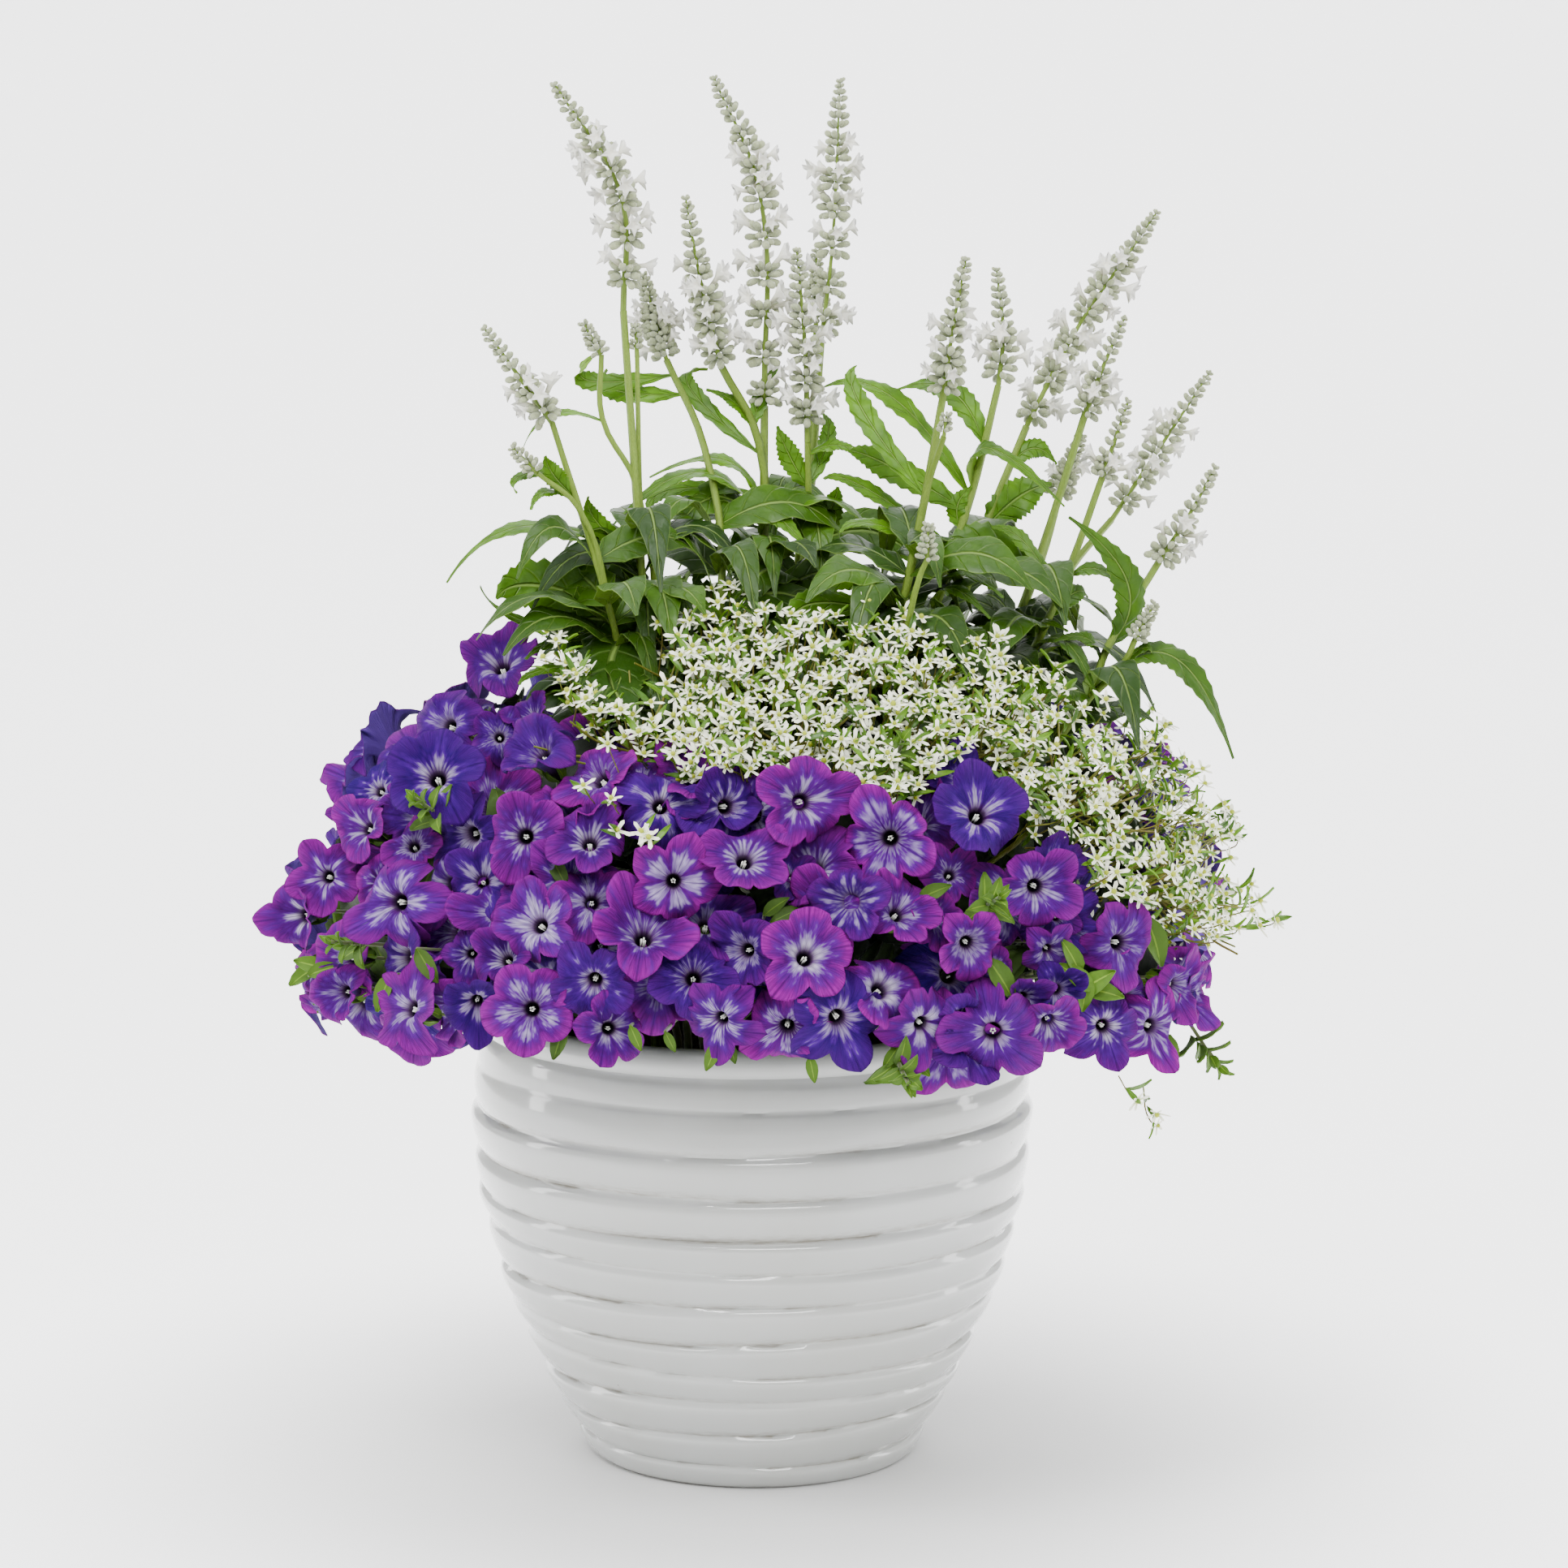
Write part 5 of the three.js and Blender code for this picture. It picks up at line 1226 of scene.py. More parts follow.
# ---- The petunias' blooms -----------------------------------------------------------
# Each bloom is one trumpet: a ribbed tube in a green calyx, a dark throat with five
# stamens, and a wide thin limb of five joined petals, waved at its edge.
# A bloom is (column, row, radius in pixels, millimetres proud of the mound, lean to the
# right, lean upwards), and each group of them is one spray on one stem.
SPRAYS = (
    ((615, 815, 50, 0, -0.5, 0.3), (545, 890, 48, -2, -0.3, 0.3), (605, 890, 32, -12, 0, 0.2),
     (645, 862, 28, -12, 0, 0.3)),
    ((553, 970, 57, 14, 0, 0), (667, 932, 52, 5, 0.1, 0.1), (490, 915, 36, -10, -0.2, 0.3),
     (455, 965, 34, -6, -0.5, 0), (430, 985, 30, -4, -0.6, 0.1)),
    ((450, 1020, 42, 2, -0.6, 0.1), (500, 1035, 36, -6, -0.3, -0.1), (450, 1080, 32, -12, 0, 0),
     (400, 1080, 42, 0, -0.4, 0.1), (368, 1130, 43, 0, -0.6, 0)),
    ((415, 1180, 44, -6, -0.1, -0.2), (428, 1222, 40, 4, -0.2, -0.6),
     (375, 1198, 28, -4, -0.5, -0.2), (380, 1252, 24, -8, -0.4, -0.6)),
    ((506, 1118, 57, 14, 0, 0), (582, 1078, 42, -10, 0.1, 0), (650, 1035, 52, 5, 0, 0.1),
     (572, 1176, 32, -8, -0.2, 0)),
    ((510, 1238, 52, 8, -0.1, -0.2), (585, 1238, 40, -2, -0.2, -0.2),
     (660, 1242, 52, 8, -0.1, -0.2), (622, 1180, 38, 0, -0.1, 0)),
    ((735, 955, 54, 0, 0, 0.1), (788, 952, 36, -8, 0.1, 0.2), (817, 996, 50, 6, 0, 0.1),
     (728, 1036, 48, 2, -0.4, 0.3)),
    ((668, 1140, 50, 8, -0.3, 0), (640, 1108, 42, -8, -0.2, 0.1), (728, 1108, 47, -4, 0, 0.2),
     (796, 1150, 58, 4, 0, 0)),
    ((735, 1212, 48, 6, -0.1, -0.1), (752, 1268, 44, -2, -0.1, -0.3), (855, 1203, 50, 4, 0, 0),
     (885, 1256, 45, 10, 0, -0.2)),
    ((900, 995, 50, 0, 0, 0.1), (990, 996, 56, 8, 0, 0.1), (920, 1062, 53, 9, 0, 0),
     (834, 1094, 50, 10, 0, 0), (976, 1070, 30, -12, 0, 0)),
    ((915, 1172, 46, -4, -0.3, -0.1), (992, 1178, 54, 12, -0.1, 0), (1046, 1112, 48, 0, 0, 0.1),
     (968, 1270, 50, 2, -0.1, -0.2), (1032, 1256, 55, 9, 0.1, -0.1), (1088, 1216, 53, 2, 0, 0)),
    ((1092, 1038, 55, 4, 0, 0.1), (1196, 1014, 57, 14, 0, 0.1), (1197, 950, 44, -8, 0, 0.4),
     (1180, 1068, 34, -12, 0, 0), (1110, 1122, 44, -2, 0, 0)),
    ((1158, 1130, 34, -8, -0.1, 0.1), (1190, 1165, 44, 4, 0, 0.1), (1240, 1190, 26, -14, 0, 0),
     (1133, 1262, 46, 8, 0, -0.1), (1212, 1270, 59, 12, 0, -0.1)),
    ((1270, 1098, 50, 6, 0.3, 0.1), (1305, 1068, 44, -6, 0.5, 0.2), (1298, 1172, 32, -4, 0.5, 0),
     (1318, 1126, 28, -10, 0.4, 0), (1262, 1232, 34, 0, 0.1, 0), (1290, 1262, 42, 2, 0.2, -0.3),
     (1308, 1222, 36, -4, 0.4, 0)),
    ((1377, 1163, 50, 4, 0.1, 0), (1362, 1266, 44, 0, -0.1, -0.4), (1415, 1262, 48, 6, 0.1, -0.4),
     (1448, 1216, 42, 2, 0.6, 0), (1476, 1226, 42, -4, 0.7, 0)),
)
# Round the back, between these turns in degrees, are five sprays of blooms in rows. A row
# is its height and the number of its blooms.
BACK_SPRAYS = 5
BACK_TURN = (6, 172)
BACK_ROWS = ((0.302, 4), (0.352, 3), (0.402, 2), (0.446, 2))
BACK_BLOOM_RADIUS = 0.028
# Sprays that bloom higher than this root further in.
HIGH_SPRAY = 0.380
OUTER_ROOTS = 0.137
INNER_ROOTS = 0.112
TAIL_SPACING = 0.007
SEPALS = 5
SEPAL_LONG = 0.013
# Blooms half hidden behind the others of their spray.
HIDDEN_BLOOMS = 3
HIDDEN_ASIDE = 0.032
HIDDEN_CLEAR = 0.014
BLOOMS_TO_A_PIECE = 4
LOBES = 5
BLOOM_SIDES = 60
# The trumpet's skin in parts of the bloom's radius: from the throat's bottom over the face
# to the edge, and back along the outside and the tube.
FACE_RINGS = (
    (0.035, -0.80), (0.08, -0.74), (0.115, -0.60), (0.145, -0.46), (0.18, -0.34),
    (0.225, -0.25), (0.29, -0.175), (0.37, -0.12), (0.46, -0.078), (0.55, -0.048),
    (0.64, -0.026), (0.73, -0.010), (0.81, -0.002), (0.88, 0.0), (0.945, 0.0), (1.0, -0.006),
)
BACK_RINGS = (
    (0.985, -0.030), (0.88, -0.040), (0.70, -0.062), (0.52, -0.11), (0.38, -0.19),
    (0.28, -0.32), (0.225, -0.50), (0.175, -0.80), (0.12, -1.10),
)
LIMB_HINGE = 0.36
# How far the limb stands up like a cup, or hangs back, in each blank.
CUPS = (0.0, -0.12, 0.14, 0.05, -0.06, 0.42, -0.22, 0.22, 0.02, 0.30)


def bloom_blank(label, chance, cup):
    """A bloom of radius 1 that faces +Z. Each of its petals curls and waves in its own way."""
    blank = turned(label, (*FACE_RINGS, *BACK_RINGS), BLOOM_SIDES)
    curls = [chance.uniform(-1.05, 0.55) for _ in range(LOBES)]
    mean_curl = sum(curls) / LOBES * 0.6
    lengths = [chance.uniform(1.06, 1.32) for _ in range(LOBES)]
    pointed = chance.uniform(0.02, 0.15)
    notch = chance.uniform(0.12, 0.26)
    waves = [chance.uniform(0, 2 * math.pi) for _ in range(4)]
    sides, reaches = [], []
    for vertex in blank.data.vertices:
        x, y, z = vertex.co
        radius, angle = math.hypot(x, y), math.atan2(y, x)
        in_face = min(abs(radius - r) + abs(z - h) for r, h in FACE_RINGS) < 0.004
        lobe = round(angle / (2 * math.pi / LOBES))
        off = abs(angle - lobe * 2 * math.pi / LOBES) / (math.pi / LOBES)
        spread = min(max((radius - 0.20) / 0.80, 0), 1)
        edge = spread * spread * (3 - 2 * spread)
        outline = 1 - notch * off**4 * edge + pointed * (1 - off) ** 3 * edge
        outline *= 1 + (lengths[lobe % LOBES] - 1) * edge * (1 - off**2)
        curl = mean_curl + (curls[lobe % LOBES] - mean_curl) * (1 - off**2)
        beyond = max(radius * outline - LIMB_HINGE, 0)
        reached = radius * outline - beyond * (1 - math.cos(curl * edge))
        wave = 0.070 * math.sin(3 * angle + waves[0]) + 0.060 * math.sin(7 * angle + waves[1])
        frill = 12 * angle + waves[2] + 2 * math.sin(2 * angle + waves[3])
        wave += 0.045 * edge * math.sin(frill)
        crease = 0.10 * edge * (off**5 - 0.7 * max(1 - 4 * off, 0))
        lift = beyond * math.sin(curl * edge) + crease + wave * edge**1.4 + cup * edge
        vertex.co = (reached * math.cos(angle), reached * math.sin(angle), z + lift)
        sides.append(off)
        reaches.append(radius if in_face else 2 - radius)
    mark_points(blank, "lobe_side", sides)
    mark_points(blank, "reach", reaches)
    bpy.ops.object.shade_smooth()
    stamens = []
    for k in range(LOBES):
        turn = 2 * math.pi * k / LOBES + 0.4
        stamen = added(
            "stamen", bpy.ops.mesh.primitive_cone_add,
            vertices=6, radius1=0.006, radius2=0.022, depth=0.42,
            location=(0.045 * math.cos(turn), 0.045 * math.sin(turn), -0.52 - 0.04 * (k % 2)),
        )
        bpy.ops.object.transform_apply(location=True)
        bpy.ops.object.shade_smooth()
        mark_points(stamen, "reach", [-1.0] * len(stamen.data.vertices))
        stamens.append(stamen)
    return joined(label, [blank, *stamens])


chance = random.Random(23)
bloom_blanks = [bloom_blank(f"bloom_blank_{k}", chance, cup) for k, cup in enumerate(CUPS)]

# Petunia petal: velvet violet, bluer or redder from bloom to bloom and reddest at its
# edge, with a pale star along the petals, fine veins, a black-purple throat, a lilac back
# and a brown-purple tube. Its stamens are pale dots.
petal, petal_shader = new_surface("petunia_petal", Roughness=0.62, Specular_IOR_Level=0.10)
off = add_node(petal, "ShaderNodeAttribute", {}, attribute_name="lobe_side")
reach = add_node(petal, "ShaderNodeAttribute", {}, attribute_name="reach")
tone = add_node(petal, "ShaderNodeAttribute", {}, attribute_name="tone")
spot = add_node(petal, "ShaderNodeCombineXYZ", {
    0: off.outputs["Fac"], 1: reach.outputs["Fac"], 2: tone.outputs["Fac"],
})
stretched = add_node(petal, "ShaderNodeMapping", {
    "Vector": spot.outputs[0], "Scale": (24, 2.0, 90),
})
veins = add_node(petal, "ShaderNodeTexNoise", {
    "Vector": stretched.outputs[0], "Scale": 1.0, "Detail": 3.0, "Roughness": 0.6,
})
wide = add_node(petal, "ShaderNodeMapping", {"Vector": spot.outputs[0], "Scale": (2, 2, 57)})
clouds = add_node(petal, "ShaderNodeTexNoise", {"Vector": wide.outputs[0], "Scale": 1.3})
along_petal = add_node(petal, "ShaderNodeMath", {
    0: off.outputs["Fac"], 1: off.outputs["Fac"],
}, operation="MULTIPLY")
star_edge = add_node(petal, "ShaderNodeMath", {
    0: along_petal.outputs[0], 1: 0.22, 2: reach.outputs["Fac"],
}, operation="MULTIPLY_ADD")
star_edge = add_node(petal, "ShaderNodeMath", {
    0: veins.outputs["Fac"], 1: 0.46, 2: star_edge.outputs[0],
}, operation="MULTIPLY_ADD")
star_edge = add_node(petal, "ShaderNodeMath", {
    0: clouds.outputs["Fac"], 1: 1.30, 2: star_edge.outputs[0],
}, operation="MULTIPLY_ADD")
star_glow = add_node(petal, "ShaderNodeMapRange", {
    0: star_edge.outputs[0], 1: 1.00, 2: 1.66, 3: 0.95, 4: 0.0,
})
star = add_node(petal, "ShaderNodeMapRange", {
    0: star_edge.outputs[0], 1: 0.90, 2: 1.40, 3: 0.95, 4: 0.0,
})
violet = add_node(petal, "ShaderNodeMix", {
    0: tone.outputs["Fac"], 6: linear("#28006a"), 7: linear("#5e0078"),
}, data_type="RGBA")
edge_place = add_node(petal, "ShaderNodeMath", {
    0: clouds.outputs["Fac"], 1: 0.6, 2: reach.outputs["Fac"],
}, operation="MULTIPLY_ADD")
edge_share = add_node(petal, "ShaderNodeMapRange", {
    0: edge_place.outputs[0], 1: 0.95, 2: 1.25, 3: 0.0, 4: 0.85,
})
edge_share = add_node(petal, "ShaderNodeMath", {
    0: edge_share.outputs[0], 1: tone.outputs["Fac"],
}, operation="MULTIPLY")
dark_vein = add_node(petal, "ShaderNodeMapRange", {
    0: veins.outputs["Fac"], 1: 0.35, 2: 0.60, 3: 0.45, 4: 0.0,
})
midrib = add_node(petal, "ShaderNodeMapRange", {
    0: off.outputs["Fac"], 1: 0.02, 2: 0.07, 3: 0.55, 4: 0.0,
})
dark_line = add_node(petal, "ShaderNodeMath", {
    0: dark_vein.outputs[0], 1: midrib.outputs[0],
}, operation="MAXIMUM")
layers = [
    (edge_share, "#960094"), (star_glow, "#7422be"), (star, "#f2e8ff"), (dark_line, "#12003a"),
]
# By their reach: the lilac back, the tube, the flush round the throat, the throat and the
# stamens, each with its share at both ends of its range.
for low, high, low_share, high_share, code in (
    (1.00, 1.04, 0.0, 1.0, "#6f4fb0"), (1.68, 1.82, 0.0, 1.0, "#4a2a4c"),
    (0.18, 0.30, 0.75, 0.0, "#5e1c68"), (0.15, 0.22, 1.0, 0.0, "#12031c"),
    (-0.9, -0.5, 1.0, 0.0, "#e4e6dc"),
):
    zone = add_node(petal, "ShaderNodeMapRange", {
        0: reach.outputs["Fac"], 1: low, 2: high, 3: low_share, 4: high_share,
    })
    layers.append((zone, code))
colour = violet
for share, code in layers:
    colour = add_node(petal, "ShaderNodeMix", {
        0: share.outputs[0], 6: colour.outputs[2], 7: linear(code),
    }, data_type="RGBA")
vein_relief = add_node(petal, "ShaderNodeBump", {
    "Strength": 0.9, "Distance": 0.0018, "Height": veins.outputs["Fac"],
})
dress(petal_shader, colour.outputs[2], vein_relief.outputs[0])
for blank in bloom_blanks:
    blank.data.materials.append(petal)


def put_bloom(at, axis, turn, radius, tail, kind):
    """One bloom with its calyx, and the stem that carries it to its branch."""
    bloom = own_copy(bloom_blanks[kind], chance.random())
    axis = (axis + Vector([chance.uniform(-0.38, 0.38) for _ in range(3)])).normalized()
    bloom.data.transform(standing(at, axis, (radius, radius, radius), turn))
    foot = at - axis * radius * 0.98
    across, upward = square_to(axis)
    for k in range(SEPALS):
        out = spoke(across, upward, k * 1.257 + turn)
        held = foot + out * 0.0025 - axis * 0.002
        petunia_leaves.append(oval_leaf(held, axis + out * 0.35, out, SEPAL_LONG, 0.7))
    petunia_stems.append(([tail, foot.lerp(tail, 0.25) - axis * 0.006, foot], 1.3, 1.1))
    return bloom


groups = []
for spray in SPRAYS:
    faces = []
    for column, row, radius_pixels, proud, lean_right, lean_up in spray:
        place = on_mound(column, row)
        outward = mound_outward(place)
        at = place + outward * proud * MM
        lean = Vector((lean_right, 0, lean_up))
        axis = (outward + TOWARDS_EYE * 0.9 + lean).normalized()
        radius = radius_pixels * (at - EYE).length / FOCAL_PIXELS
        faces.append((at, axis, next(turns) * 2 * math.pi, radius))
    groups.append(faces)
part = (BACK_TURN[1] - BACK_TURN[0]) / BACK_SPRAYS
for k in range(BACK_SPRAYS):
    faces = []
    for level, count in BACK_ROWS:
        for j in range(count):
            aside = part * (k + (j + 0.2 + 0.6 * next(turns)) / count)
            height = level + (next(turns) - 0.5) * 0.034
            place = mound_place(math.radians(BACK_TURN[0] + aside), height)
            axis = (mound_outward(place) + UP * 0.25).normalized()
            at = place + axis * (next(turns) - 0.5) * 0.016
            faces.append((at, axis, next(turns) * 2 * math.pi, BACK_BLOOM_RADIUS))
    groups.append(faces)

# Every spray branches on the way from the mound's heart to its blooms.
heart = Vector((0, 0, MOUND_MIDDLE + 0.020))
bloom_count = 0
for first in range(0, len(groups), BLOOMS_TO_A_PIECE):
    blooms = []
    names = []
    for number in range(first, min(first + BLOOMS_TO_A_PIECE, len(groups))):
        faces = groups[number]
        names.append(f"petunia_spray_{number + 1:02d}")
        middle = sum((face[0] for face in faces), Vector()) / len(faces)
        branching = heart.lerp(middle, 0.7)
        roots = roots_of(middle, INNER_ROOTS if middle.z > HIGH_SPRAY else OUTER_ROOTS)
        petunia_stems.append(([*roots, branching], 2.6, 2.4))
        down = (roots[1] - branching).normalized()
        for k, (at, axis, turn, radius) in enumerate(faces):
            tail = branching + down * TAIL_SPACING * (k + 0.3)
            kind = (bloom_count * 3) % len(bloom_blanks)
            blooms.append(put_bloom(at, axis, turn, radius, tail, kind))
            bloom_count += 1
        for _ in range(HIDDEN_BLOOMS):
            near = faces[shade.randrange(len(faces))]
            across, upward = square_to(near[1])
            roll = shade.uniform(0, 2 * math.pi)
            aside = spoke(across, upward, roll) * HIDDEN_ASIDE
            at = near[0] + aside - mound_outward(near[0]) * shade.uniform(0.016, 0.026)
            at.z = max(at.z, RIM_TOP + HIDDEN_CLEAR)
            axis = (near[1] + aside * 12).normalized()
            kind = shade.randrange(len(bloom_blanks))
            radius = shade.uniform(0.023, 0.028)
            blooms.append(put_bloom(at, axis, roll, radius, branching, kind))
    piece = joined(f"petunia_blooms_{first // BLOOMS_TO_A_PIECE + 1}", blooms)
    hand_over(piece, "petunia_blooms", *names)
for blank in bloom_blanks:
    bpy.data.objects.remove(blank)

stem_piece = stalks("petunia_stems", petunia_stems, sides=4)
bpy.ops.object.shade_smooth()
stem_piece.data.materials.append(downy_stem)
greens = joined("petunia_greens", [*petunia_leaves, stem_piece])
hand_over(greens, "petunia_leaves", *(f"petunia_shoot_{k + 1}" for k in range(len(SHOOTS))))
bpy.data.objects.remove(oval_blank)

# ---- The euphorbia ------------------------------------------------------------------
# A froth of small white bracts in fives and sixes round yellow-green hearts, on red stems
# as thin as thread with narrow leaves. It roots in the soil's middle and spills out to the
# right.
FROTH_EDGE = (
    (684, 850), (700, 815), (745, 795), (807, 789), (840, 765), (872, 751), (924, 740), (955, 768),
    (1010, 785), (1080, 780), (1160, 800), (1250, 830), (1330, 868), (1405, 905), (1450, 889),
    (1480, 915), (1517, 943), (1535, 980), (1546, 1006), (1559, 1057), (1571, 1118), (1546, 1150),
    (1501, 1162), (1466, 1181), (1428, 1140), (1358, 1111), (1330, 1064), (1275, 1013),
    (1244, 980), (1221, 924), (1160, 960), (1096, 998), (1041, 971), (952, 950), (883, 968),
    (804, 943), (724, 899),
)
# Florets that stray in front of the petunias.
STRAYS = (
    (765, 955), (738, 1000), (803, 1050), (812, 1056), (775, 1048), (770, 1015), (1545, 1140),
    (1568, 1136), (1390, 1322), (1402, 1334), (1362, 1312), (705, 840), (690, 860), (740, 905),
)
# Florets stand so many pixels apart, give or take. From this column on, to the right, only
# a share of them is there. A share of all has another floret below it.
FLORET_SPACING = 15
FLORET_JITTER = 8
THIN_FROM = 1300
THIN_SHARE = 0.60
LOWER_SHARE = 0.45
FLORET_BRACTS = (6, 5, 6, 5)
FLORET_REACH = 0.0082
NARROW_HALF = 0.10
NARROW_STALK = 0.012
NARROW_THICKNESS = 0.05
# The froth keeps clear of the big salvia leaf that hangs over it.
UNDER_LEAF = ((712, 772), (800, 765), (838, 850), (800, 905), (742, 868))
# Middles of the tufts' patches, and the back tuft's as turn in degrees and height.
TUFTS = (
    ((772, 885),), ((880, 792),), ((985, 882),), ((1092, 790),), ((1195, 888),), ((1345, 955),),
    ((1462, 1075), (1535, 1090)), ((1235, 800),),
)
BACK_TUFT = ((74, 0.484), (112, 0.488))
BACK_FLORETS = 120
BACK_REACH = 1.35
TUFT_ROOTS = 0.072
PATCH_REACH = 0.060
THREADS_TO_A_PATCH = 14
SPIRAL = 2.4
# Which tufts are grown together into one piece.
TUFT_PIECES = ((0, 1, 2), (3, 4, 7), (5, 6), (8,))


def inside(edge, column, row):
    """Whether a pixel lies inside an outline."""
    crossings = 0
    for (x1, y1), (x2, y2) in zip(edge, edge[1:] + edge[:1]):
        if (y1 > row) != (y2 > row) and column < x1 + (row - y1) * (x2 - x1) / (y2 - y1):
            crossings += 1
    return crossings % 2 == 1


def floret_blank(label, chance, bracts):
    """A flat star of bracts, each broad near its end, round a raised heart."""
    star = added(
        label, bpy.ops.mesh.primitive_cone_add,
        vertices=4 * bracts, radius1=1, radius2=0, depth=0.1, end_fill_type="TRIFAN",
    )
    lengths = [chance.uniform(0.72, 1.08) for _ in range(bracts)]
    lifts = [chance.uniform(-0.15, 0.42) for _ in range(bracts)]
    reaches = []
    for vertex in star.data.vertices:
        radius, angle = math.hypot(vertex.co.x, vertex.co.y), math.atan2(vertex.co.y, vertex.co.x)
        reaches.append(min(radius, 1.0))
        if radius < 0.1:
            vertex.co.z *= 0.7
            continue
        step = round(angle / (2 * math.pi / (4 * bracts))) % (4 * bracts)
        bract, part = ((step + 1) // 4) % bracts, (step + 1) % 4
        share = (0.80, 1.0, 0.80, 0.20)[part]
        turn = (bract + 0.5 * (part == 3)) * 2 * math.pi / bracts
        if part in (0, 2):
            turn += (part - 1) * 0.19
        long = share * (1 if part == 3 else lengths[bract])
        lift = 0 if part == 3 else lifts[bract] * share
        vertex.co = (long * math.cos(turn), long * math.sin(turn), lift)
    mark_points(star, "reach", reaches)
    eye = added(
        "floret_eye", bpy.ops.mesh.primitive_uv_sphere_add,
        segments=6, ring_count=4, radius=0.20, location=(0, 0, 0.12),
    )
    bpy.ops.object.transform_apply(location=True)
    bpy.ops.object.shade_smooth()
    mark_points(eye, "reach", [-1.0] * len(eye.data.vertices))
    return joined(label, [star, eye])


froth = random.Random(31)
floret_blanks = [
    floret_blank(f"floret_blank_{k}", froth, bracts) for k, bracts in enumerate(FLORET_BRACTS)
]

# Euphorbia bract: matt white, faintly green towards the heart, which is yellow-green.
bract, bract_shader = new_surface("white_bract", Roughness=0.65, Sheen_Weight=0.2)
place = add_node(bract, "ShaderNodeTexCoord", {})
grainy = add_node(bract, "ShaderNodeTexNoise", {
    "Vector": place.outputs["Object"], "Scale": 500.0, "Detail": 2.0,
})
reach = add_node(bract, "ShaderNodeAttribute", {}, attribute_name="reach")
white_share = add_node(bract, "ShaderNodeMapRange", {0: reach.outputs["Fac"], 1: 0.15, 2: 0.62})
bract_colour = add_node(bract, "ShaderNodeMix", {
    0: white_share.outputs[0], 6: linear("#a0bd1c"), 7: linear("#fcfde6"),
}, data_type="RGBA")
heart_share = add_node(bract, "ShaderNodeMapRange", {
    0: reach.outputs["Fac"], 1: -0.9, 2: -0.5, 3: 1.0, 4: 0.0,
})
hearted = add_node(bract, "ShaderNodeMix", {
    0: heart_share.outputs[0], 6: bract_colour.outputs[2], 7: linear("#a8b414"),
}, data_type="RGBA")
bract_relief = add_node(bract, "ShaderNodeBump", {
    "Distance": 0.0004, "Height": grainy.outputs["Fac"],
})
dress(bract_shader, hearted.outputs[2], bract_relief.outputs[0])
for blank in floret_blanks:
    blank.data.materials.append(bract)

narrow_blank = flat_blade("euphorbia_leaf_blank", 2, 4, NARROW_THICKNESS)
for vertex in narrow_blank.data.vertices:
    side, share, deep = vertex.co.x, (vertex.co.y + 1) / 2, vertex.co.z
    half = NARROW_HALF * math.sin(math.pi * share**0.9) ** 0.7 + NARROW_STALK
    vertex.co = (side * half, share, 0.06 * abs(side) + 0.2 * share - 0.3 * share**2 + 0.4 * deep)
bpy.ops.object.shade_smooth_by_angle(angle=math.radians(60))

# Euphorbia leaf: smooth and fresh green, darker inside the tuft.
smooth_leaf, smooth_leaf_shader = new_surface("smooth_leaf", Roughness=0.42)
place = add_node(smooth_leaf, "ShaderNodeTexCoord", {})
tone = add_node(smooth_leaf, "ShaderNodeAttribute", {}, attribute_name="tone")
fresh = add_node(smooth_leaf, "ShaderNodeMix", {
    0: tone.outputs["Fac"], 6: linear("#1c3608"), 7: linear("#7fae10"),
}, data_type="RGBA")
patchy = add_node(smooth_leaf, "ShaderNodeTexNoise", {
    "Vector": place.outputs["Object"], "Scale": 300.0,
})
patched = add_node(smooth_leaf, "ShaderNodeMix", {
    0: patchy.outputs["Fac"], 6: fresh.outputs[2], 7: linear("#4a7a0e"),
}, data_type="RGBA")
leaf_relief = add_node(smooth_leaf, "ShaderNodeBump", {
    "Distance": 0.0004, "Height": patchy.outputs["Fac"],
})
dress(smooth_leaf_shader, patched.outputs[2], leaf_relief.outputs[0])
narrow_blank.data.materials.append(smooth_leaf)

# Euphorbia stem: threadlike, green turning red-brown.
thread_stem, thread_stem_shader = new_surface("thread_stem", Roughness=0.5)
place = add_node(thread_stem, "ShaderNodeTexCoord", {})
redness = add_node(thread_stem, "ShaderNodeTexNoise", {
    "Vector": place.outputs["Object"], "Scale": 40.0, "Detail": 3.0,
})
reddened = add_node(thread_stem, "ShaderNodeMix", {
    0: redness.outputs["Fac"], 6: linear("#6d9018"), 7: linear("#6b2a1e"),
}, data_type="RGBA")
thread_stem.node_tree.links.new(reddened.outputs[2], thread_stem_shader.inputs["Base Color"])

# A spot is a floret's place on the mound and how far it stands out from there. Where the
# mound turns out of sight, at its sides, the florets are spread in depth.
spots = []
for column in range(680, 1580, FLORET_SPACING):
    for row in range(735, 1190, FLORET_SPACING):
        aside = froth.uniform(-FLORET_JITTER, FLORET_JITTER)
        dot = (column + aside, row + froth.uniform(-FLORET_JITTER, FLORET_JITTER))
        if not inside(FROTH_EDGE, *dot) or inside(UNDER_LEAF, *dot):
            continue
        place = on_mound(*dot)
        if place.y > -0.02:
            place.y += froth.uniform(-0.04, 0.06)
        if froth.random() < (THIN_SHARE if dot[0] > THIN_FROM else 1):
            spots.append((place, froth.uniform(0.000, 0.024)))
        if froth.random() < LOWER_SHARE:
            spots.append((place, froth.uniform(-0.020, 0.000)))
for column, row in STRAYS:
    spots.append((on_mound(column, row), 0.030))
back_patches = [mound_place(math.radians(turn), height) for turn, height in BACK_TUFT]
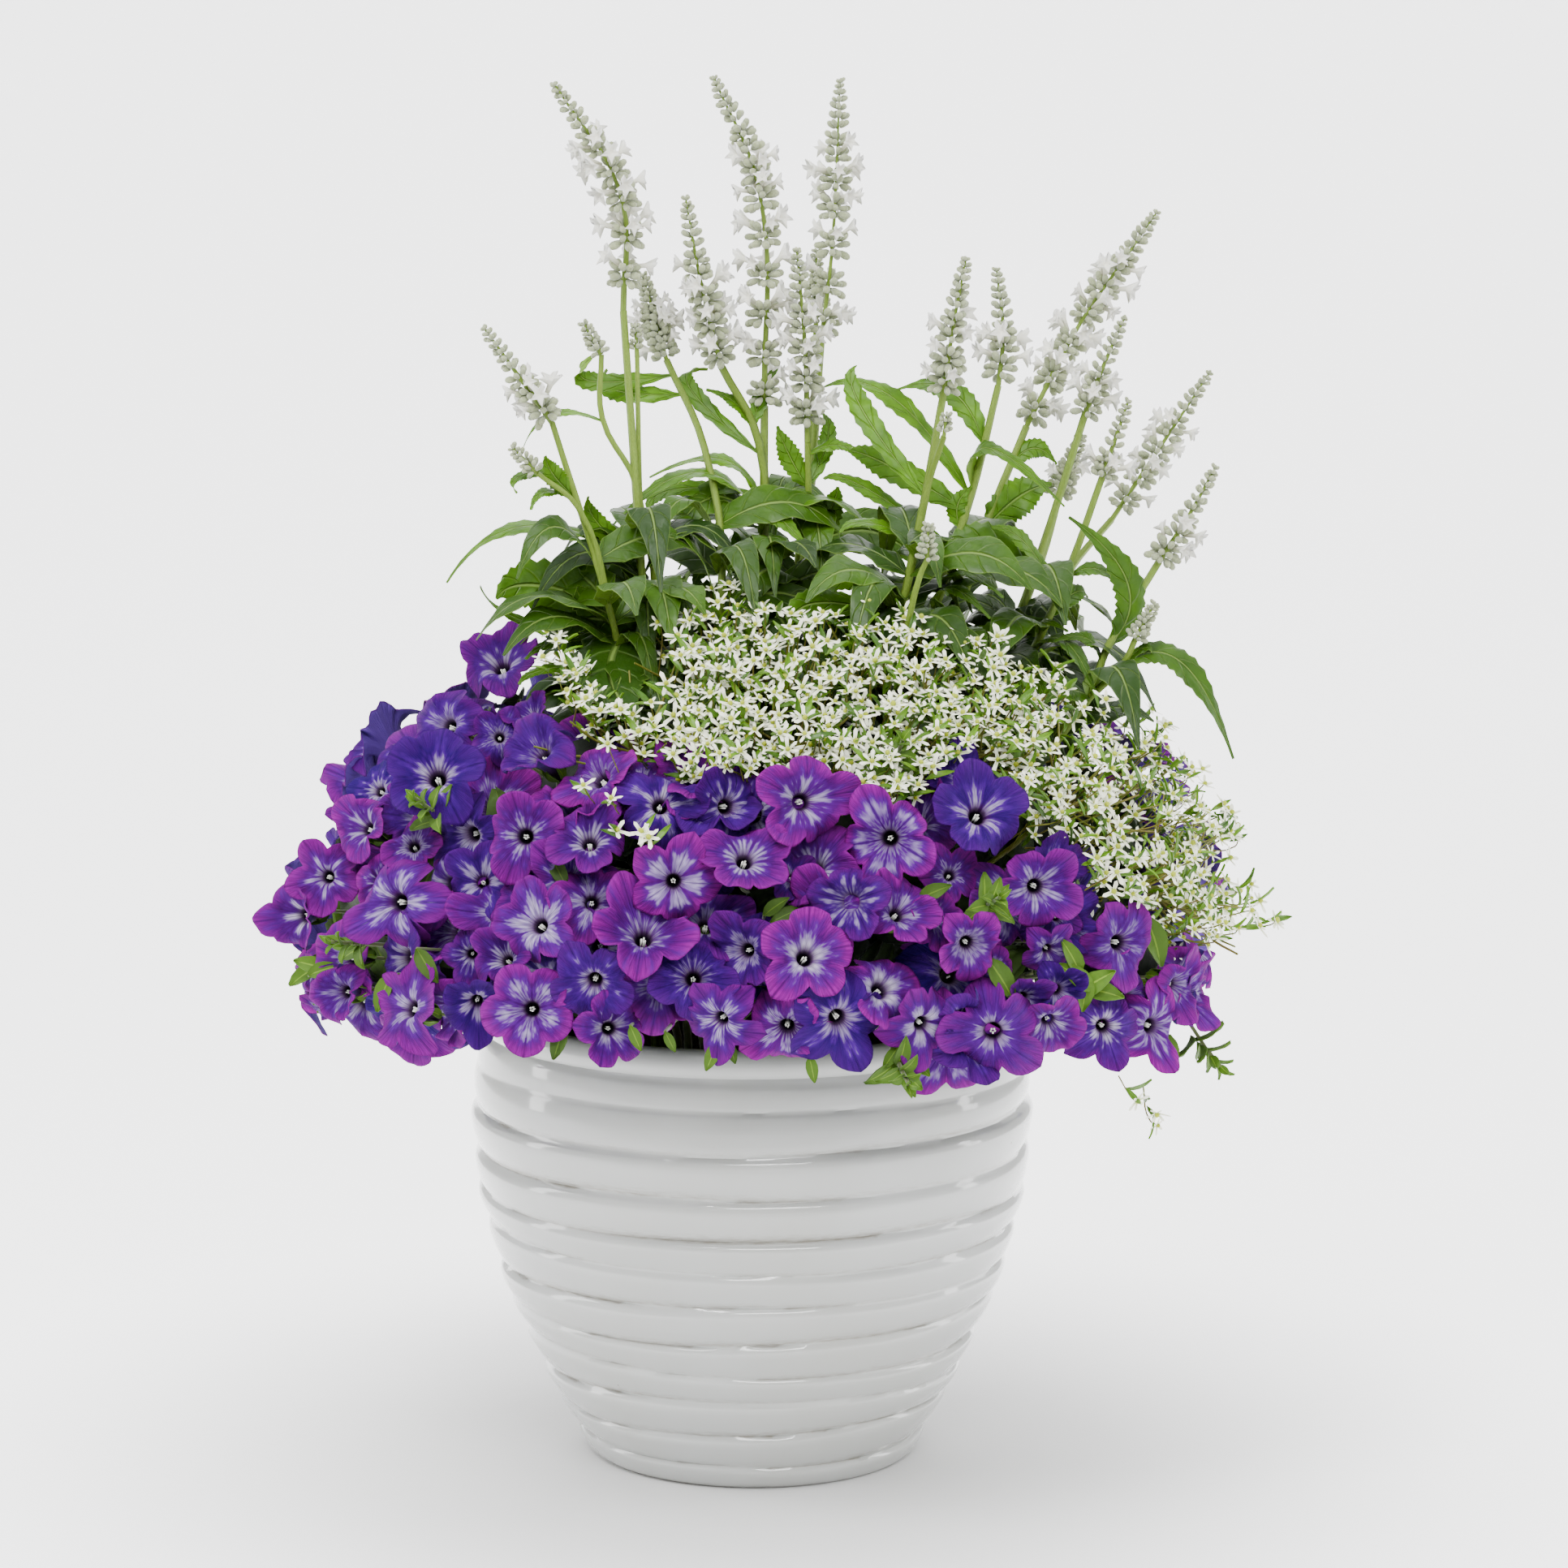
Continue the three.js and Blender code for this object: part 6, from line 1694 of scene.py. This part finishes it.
for patch in back_patches:
    across, upward = square_to(mound_outward(patch))
    for k in range(BACK_FLORETS):
        away = BACK_REACH * PATCH_REACH * math.sqrt((k + 0.5) / BACK_FLORETS)
        place = patch + spoke(across, upward, SPIRAL * k) * away * froth.uniform(0.7, 1.1)
        spots.append((place, froth.uniform(-0.012, 0.010)))

front_patches = [[on_mound(*dot) for dot in tuft] for tuft in TUFTS]
patches = [*front_patches, back_patches]
tufts = [[] for _ in patches]
threads = [[] for _ in patches]
for place, proud in spots:
    nearest = min(
        (min((place - patch).length for patch in tuft), k) for k, tuft in enumerate(patches)
    )[1]
    outward = mound_outward(place)
    at = place + outward * proud
    tilt = Vector((froth.uniform(-1, 1), froth.uniform(-1, 1), froth.uniform(-1, 1)))
    axis = (outward + TOWARDS_EYE * 0.35 + UP * 0.35 + tilt * 0.55).normalized()
    size = FLORET_REACH * froth.uniform(0.8, 1.15)
    floret = own_copy(froth.choice(floret_blanks), froth.random())
    floret.data.transform(standing(at, axis, (size, size, size), froth.uniform(0, 6.28)))
    tufts[nearest].append(floret)
    below = at - outward * 0.028 + tilt * 0.006
    if froth.random() < 0.6:
        threads[nearest].append(([below, at - axis * 0.006, at], 0.55, 0.35))
    for _ in range(froth.choice((1, 1, 2, 2))):
        aside = Vector((froth.uniform(-1, 1), froth.uniform(-1, 1), froth.uniform(-0.3, 1)))
        along = (outward * 0.6 + aside).normalized()
        leaf = own_copy(narrow_blank, froth.random())
        root = at - outward * froth.uniform(0.004, 0.014)
        leaf.data.transform(leaf_place(root, along, outward, froth.uniform(0.010, 0.020)))
        tufts[nearest].append(leaf)
for k, tuft in enumerate(patches):
    roots = roots_of(tuft[0], TUFT_ROOTS)
    for patch in tuft:
        hub = patch - mound_outward(patch) * 0.030
        threads[k].append(([*roots, hub], 2.2, 1.6))
        across, upward = square_to(mound_outward(patch))
        for j in range(THREADS_TO_A_PATCH):
            away = spoke(across, upward, SPIRAL * j)
            end = patch + away * PATCH_REACH * math.sqrt((j + 0.5) / THREADS_TO_A_PATCH)
            threads[k].append(([hub, hub.lerp(end, 0.6) - UP * 0.004, end], 1.0, 0.6))
for number, members in enumerate(TUFT_PIECES):
    lines = [line for k in members for line in threads[k]]
    stem_piece = stalks(f"euphorbia_stems_{number + 1}", lines)
    stem_piece.data.materials.append(thread_stem)
    parts = [part for k in members for part in tufts[k]]
    piece = joined(f"euphorbia_{number + 1}", [*parts, stem_piece])
    hand_over(piece, "euphorbia_bracts", *(f"euphorbia_tuft_{k + 1}" for k in members))
for blank in (*floret_blanks, narrow_blank):
    bpy.data.objects.remove(blank)
